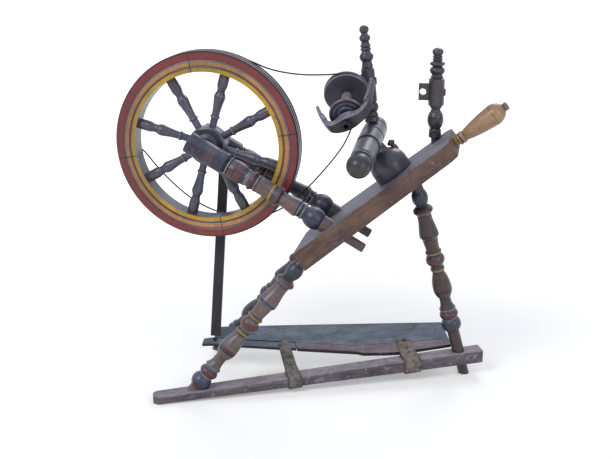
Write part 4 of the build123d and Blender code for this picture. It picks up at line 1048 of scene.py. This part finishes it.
yarn_curve = bpy.data.curves.new("bobbin_yarn", "CURVE")
yarn_curve.dimensions = "3D"
yarn_run = yarn_curve.splines.new("NURBS")
yarn_count = YARN_LAYERS * TURNS_PER_LAYER * POINTS_PER_TURN
yarn_run.points.add(yarn_count - 1)
for index in range(yarn_count):
    layer, share = divmod(index / (TURNS_PER_LAYER * POINTS_PER_TURN), 1.0)
    if layer % 2:
        share = 1.0 - share
    turn = 2 * math.pi * index / POINTS_PER_TURN
    z = YARN_LOW + (YARN_HIGH - YARN_LOW) * share + 0.7 * math.sin(0.37 * index)
    reach = neck_radius(min(max(z, NECK_LOW), NECK_HIGH)) + 0.8 + 0.55 * layer
    reach += 0.25 * math.sin(0.9 * index)
    yarn_run.points[index].co = (reach * math.cos(turn) * MM, reach * math.sin(turn) * MM,
                                 z * MM, 1.0)
yarn_run.order_u = 3
yarn_run.use_endpoint_u = True
yarn_run.resolution_u = 2
yarn_curve.bevel_depth = YARN_THICK / 2 * MM
yarn_curve.bevel_resolution = 1
yarn_strand = added("bobbin_yarn", yarn_curve)
only(yarn_strand)
bpy.ops.object.convert(target="MESH")
yarn_strand = bpy.context.object
yarn_core = lathed("yarn_core", [(66.4, 9.8), (66.8, 11.6), (75.0, 12.0), (90.0, 12.4),
                                 (100.0, 15.6), (102.5, 15.4), (101.5, 14.6)], 48)
yarn = joined("bobbin_yarn", [yarn_strand, yarn_core])
seated(yarn, BEARING, FLYER_X, FLYER_WAY)
smooth(50)
print("yarn", len(yarn.data.polygons), "faces")

# %% [markdown]
# Finishes of the flyer set. Its upper side and its arms are pale, its front is nearly black,
# and a thin reddish line of bare wood runs along the edge between them. The bobbin keeps a
# reddish-brown rim round a blue-grey face whose light rings are painted sky reflections.

# %% Flyer set finishes
def flyer_finish():
    made, tree = fresh("flyer_worn", 0.35, 0.2, 0.3)
    place, facing = place_along(tree, BEARING, FLYER_WAY)
    grain = grained(tree, place, "#2b2a35", "#111016")
    pale = grained(tree, place, "#8b8494", "#54484f")
    rubbed = worn(tree, place, 0.5)
    top = stepped(tree, facing_by(tree, facing, FLYER_Y), 0.45, 0.75)
    # Painted shade: the right arm is darker under its row of wires
    sideways = part_of(tree, place_along(tree, BEARING, FLYER_X)[0], "Z")
    shade_under_wires = times(tree, stepped(tree, sideways, 30.0, 45.0),
                        stepped(tree, part_of(tree, place, "Z"), 150.0, 138.0))
    pale_top_with_shade = blended(tree, times(tree, shade_under_wires, 0.75), pale["Colour"], tint("#2c2e44"))
    edge = math_node(tree, "MULTIPLY", times(tree, top, 4.0), less(tree, 1.0, top), clamp=True)
    colour = blended(tree, top, grain["Colour"], pale_top_with_shade)
    colour = washed(tree, colour, edge, 0.7, "#7d544c")
    colour = washed(tree, colour, rubbed["Worn"], 0.5, "#5d4a48")
    return finished(made, colour, rubbed["Roughness"], grain["Height"], 0.0006)


def face_finish(name, rings, light, dark, face_way, rim):
    # For a flat turned face: the rings, with the bobbin's painted reflections, are counted out
    # from the axis, and the rest is the rim
    made, tree = fresh(name, 0.4, 0.3, 0.25)
    place, facing = place_along(tree, BEARING, FLYER_WAY)
    parts, reach, turn = round_axis(tree, place, "X", "Y")
    grain = grained(tree, place, light, dark, 0.9)
    rubbed = worn(tree, place)
    paint, cover = ring_ramps(tree, reach, rings)
    paint = blended(tree, 0.5, paint, grain["Colour"], "OVERLAY")
    on_face = stepped(tree, facing_by(tree, facing, face_way), 0.6, 0.8)
    colour = blended(tree, times(tree, on_face, cover), grain["Colour"], paint)
    rim_share = stepped(tree, reach, rim[0], rim[0] + 0.6)
    colour = blended(tree, times(tree, rim_share, rim[2]), colour, tint(rim[1]))
    # Fine cracks run out from the middle
    spread = put(tree, "ShaderNodeCombineXYZ", X=times(tree, turn, 7.0),
                 Y=times(tree, reach, 0.02)).outputs[0]
    cracks = noise(tree, spread, 1.0, 3.0, 0.6)
    colour = blended(tree, stepped(tree, cracks, 0.62, 0.68, 0.0, 0.7), colour, tint("#131218"))
    colour = washed(tree, colour, rubbed["Grime"], 0.4, "#26242c")
    return finished(made, colour, rubbed["Roughness"], grain["Height"], 0.0004)


def yarn_finish():
    made, tree = fresh("wool_yarn", 0.15)
    place, facing = place_along(tree, BEARING, FLYER_WAY)
    hairs = noise(tree, stretched(tree, place, (1.2, 1.2, 3.0)), 1.0, 4.0, 0.7)
    clouds = noise(tree, place, 0.08, 2.0)
    colour = blended(tree, stepped(tree, hairs, 0.35, 0.65), tint("#8f8c9a"), tint("#565460"))
    colour = blended(tree, stepped(tree, clouds, 0.4, 0.7, 0.0, 0.5), colour, tint("#7d6f70"))
    return finished(made, colour, stepped(tree, hairs, 0.2, 0.8, 0.75, 0.95), hairs, 0.0005, 0.8)


flyer.data.materials.append(flyer_finish())
wires.data.materials.append(iron_finish("flyer_wire", "#a9a8b8", "#5a5660"))
# The bobbin face's pale blue rings are painted sky reflections between its dark turned rings
bobbin.data.materials.append(face_finish(
    "bobbin_face_sky_reflections", [(5, "#3c3e58"), (15, "#6a7096"), (19, "#2c2d40"), (21, "#4d5272"),
                    (24.6, "#8288ac"), (26, "#2b2c40"), (29, "#5c6288"), (31, "#2c2c3e"),
                    (33.8, "#4a3a42")],
    "#5d463f", "#33282c", FLYER_WAY, (38.6, "#6b4e45", 0.8)))
dress(face_finish("whorl_face", [(5, "#45434f"), (40, "#4b4956"), (47, "#514f5c")], "#6d6a78",
                  "#2f2d38", FLYER_WAY, (51.4, "#7f7d8d", 0.7)), "whorl")
yarn.data.materials.append(yarn_finish())
for piece, node, body, slot in ((flyer, "flyer_arms", "flyer", "flyer_wood"),
                                (wires, "flyer_hooks", "flyer", "iron"),
                                (bobbin, "bobbin", "bobbin", "flyer_wood"),
                                (yarn, "bobbin_thread", "bobbin", "thread")):
    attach(piece, body)
    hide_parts(node)
print("flyer set hung")

# %% [markdown]
# Two leather straps are the treadle's hinge. Each is one flat strip: nailed on the treadle, it
# runs down to the rail, over it and right round it, and its end is tucked under itself. A strip
# is an edge as wide as the leather, pulled along its route, then given its thickness.

# %% Leather straps
RAIL_UP = RAIL_WAY.cross(RAIL_BACK)
LEATHER = 2.6


def leather_strip(name, middle, route):
    # Route steps are (away from the rail, up, width), seen from the rail's end
    deselect()
    bpy.ops.mesh.primitive_plane_add(size=1.0)
    made = bpy.context.object
    made.name = name
    bpy.ops.object.mode_set(mode="EDIT")
    bpy.ops.mesh.select_all(action="DESELECT")
    leave_edit()
    for point in made.data.vertices:
        point.select = point.co.y < 0
    bpy.ops.object.mode_set(mode="EDIT")
    bpy.ops.mesh.delete(type="VERT")
    bpy.ops.mesh.select_all(action="SELECT")
    away, up, wide = route[0]
    bpy.ops.transform.translate(value=(0, away * MM - 0.5, up * MM))
    bpy.ops.transform.resize(value=(wide * MM, 1, 1), center_override=(0, 0, 0))
    for (away, up, wide), (next_away, next_up, next_wide) in zip(route, route[1:]):
        bpy.ops.mesh.extrude_region_move(TRANSFORM_OT_translate={
            "value": (0, (next_away - away) * MM, (next_up - up) * MM)})
        bpy.ops.transform.resize(value=(next_wide / wide, 1, 1), center_override=(0, 0, 0))
    leave_edit()
    tidied(made)
    applied(made, "SOLIDIFY", thickness=LEATHER * MM, offset=0.0)
    eased(made, 0.5, 60)
    tidied(made)
    seated(made, RAIL_LEFT + RAIL_WAY * middle, RAIL_WAY, RAIL_UP)
    smooth(40)
    return made


def on_treadle(reach, lift):
    # A place on the treadle, as a distance from the rail's line and a height over the board
    c, s = math.cos(treadle_tilt), math.sin(treadle_tilt)
    return c * reach - s * lift, s * reach + c * lift


def strap_route(reach, near, lift, wide, over, under, bend):
    # Down the treadle, over the rail, down its front, under it, up its back, and tucked in
    side = 22.5 + LEATHER / 2 + 0.3
    route = [(*on_treadle(reach, lift), wide * 0.86),
             (*on_treadle((reach + near) / 2, lift), wide * 0.88),
             (*on_treadle(near, lift), wide * 0.9), (bend + 8, over + 8.5, wide * 0.95)]
    top = over + LEATHER * 1.5 + 0.9
    route += [(bend, top + 1.2, wide), (4, top, wide), (-14, top, wide),
              (-19.5, top - 1.2, wide), (-side, over - 3, wide), (-side, over - 9, wide),
              (-side, under + 3, wide), (-side + 2.5, under - 1.6, wide),
              (0, under - 1.6, wide), (side - 2.5, under - 1.6, wide), (side, under + 3, wide),
              (side, over - 8, wide), (side - 1.2, over - 3, wide),
              (side - 5.5, over + 1.45, wide), (0, over + 1.5, wide), (-14, over + 1.45, wide)]
    return route


def leather_finish(name, light, dark, middle, wide):
    made, tree = fresh(name, 0.3)
    place, facing = place_along(tree, tuple(RAIL_LEFT + RAIL_WAY * middle), RAIL_WAY)
    clouds = noise(tree, place, 0.08, 4.0, 0.6)
    pores = put(tree, "ShaderNodeTexVoronoi", {"feature": "DISTANCE_TO_EDGE"}, Vector=place,
                Scale=0.9).outputs["Distance"]
    creases = noise(tree, stretched(tree, place, (0.5, 0.5, 0.08)), 1.0, 3.0, 0.6, 0.6)
    colour = blended(tree, stepped(tree, clouds, 0.35, 0.65), tint(light), tint(dark))
    colour = blended(tree, stepped(tree, creases, 0.6, 0.7, 0.0, 0.35), colour, tint("#37322f"))
    off_middle = math_node(tree, "ABSOLUTE", part_of(tree, place, "Z"))
    colour = blended(tree, stepped(tree, off_middle, wide / 2 - 4.5, wide / 2 - 0.5, 0.0, 0.6),
                     colour, tint("#2f2b2b"))
    rubbed = worn(tree, place, 0.4, 0.1)
    colour = washed(tree, colour, rubbed["Worn"], 0.4, "#97908a")
    return finished(made, colour, stepped(tree, clouds, 0.2, 0.8, 0.62, 0.85),
                    plus(tree, pores, creases), 0.0004, 0.5)


STRAPS = [
    ("leather_left", 273.0, 34.0, 128.0, 99.0, 6.0, 9.92, -16.24, 21.0, "strap_left",
     "#77736c", "#4f4b48"),
    ("leather_right", 581.5, 43.0, 72.0, 33.0, 7.0, 6.90, -24.66, 18.0, "strap_right",
     "#857a72", "#5c524e"),
]
for name, middle, wide, reach, near, lift, over, under, bend, node, light, dark in STRAPS:
    strap = leather_strip(name, middle, strap_route(reach, near, lift, wide, over, under, bend))
    strap.data.materials.append(leather_finish(name + "_skin", light, dark, middle, wide))
    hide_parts(node, node + "_loop")
    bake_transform(strap)
    print(name, len(strap.data.polygons), "faces")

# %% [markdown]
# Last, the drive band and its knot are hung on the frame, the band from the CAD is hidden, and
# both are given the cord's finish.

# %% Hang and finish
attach(band, "frame")
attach(knot, "frame")
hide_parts("drive_band")
cord_paint = turned_finish("band_cord", tuple(PULLEY), FLYER_WAY, "#3a3436", "#1d191c", coat=0.0,
                           dust_and_sky_light=0.0)
band.data.materials.append(cord_paint)
knot.data.materials.append(cord_paint)
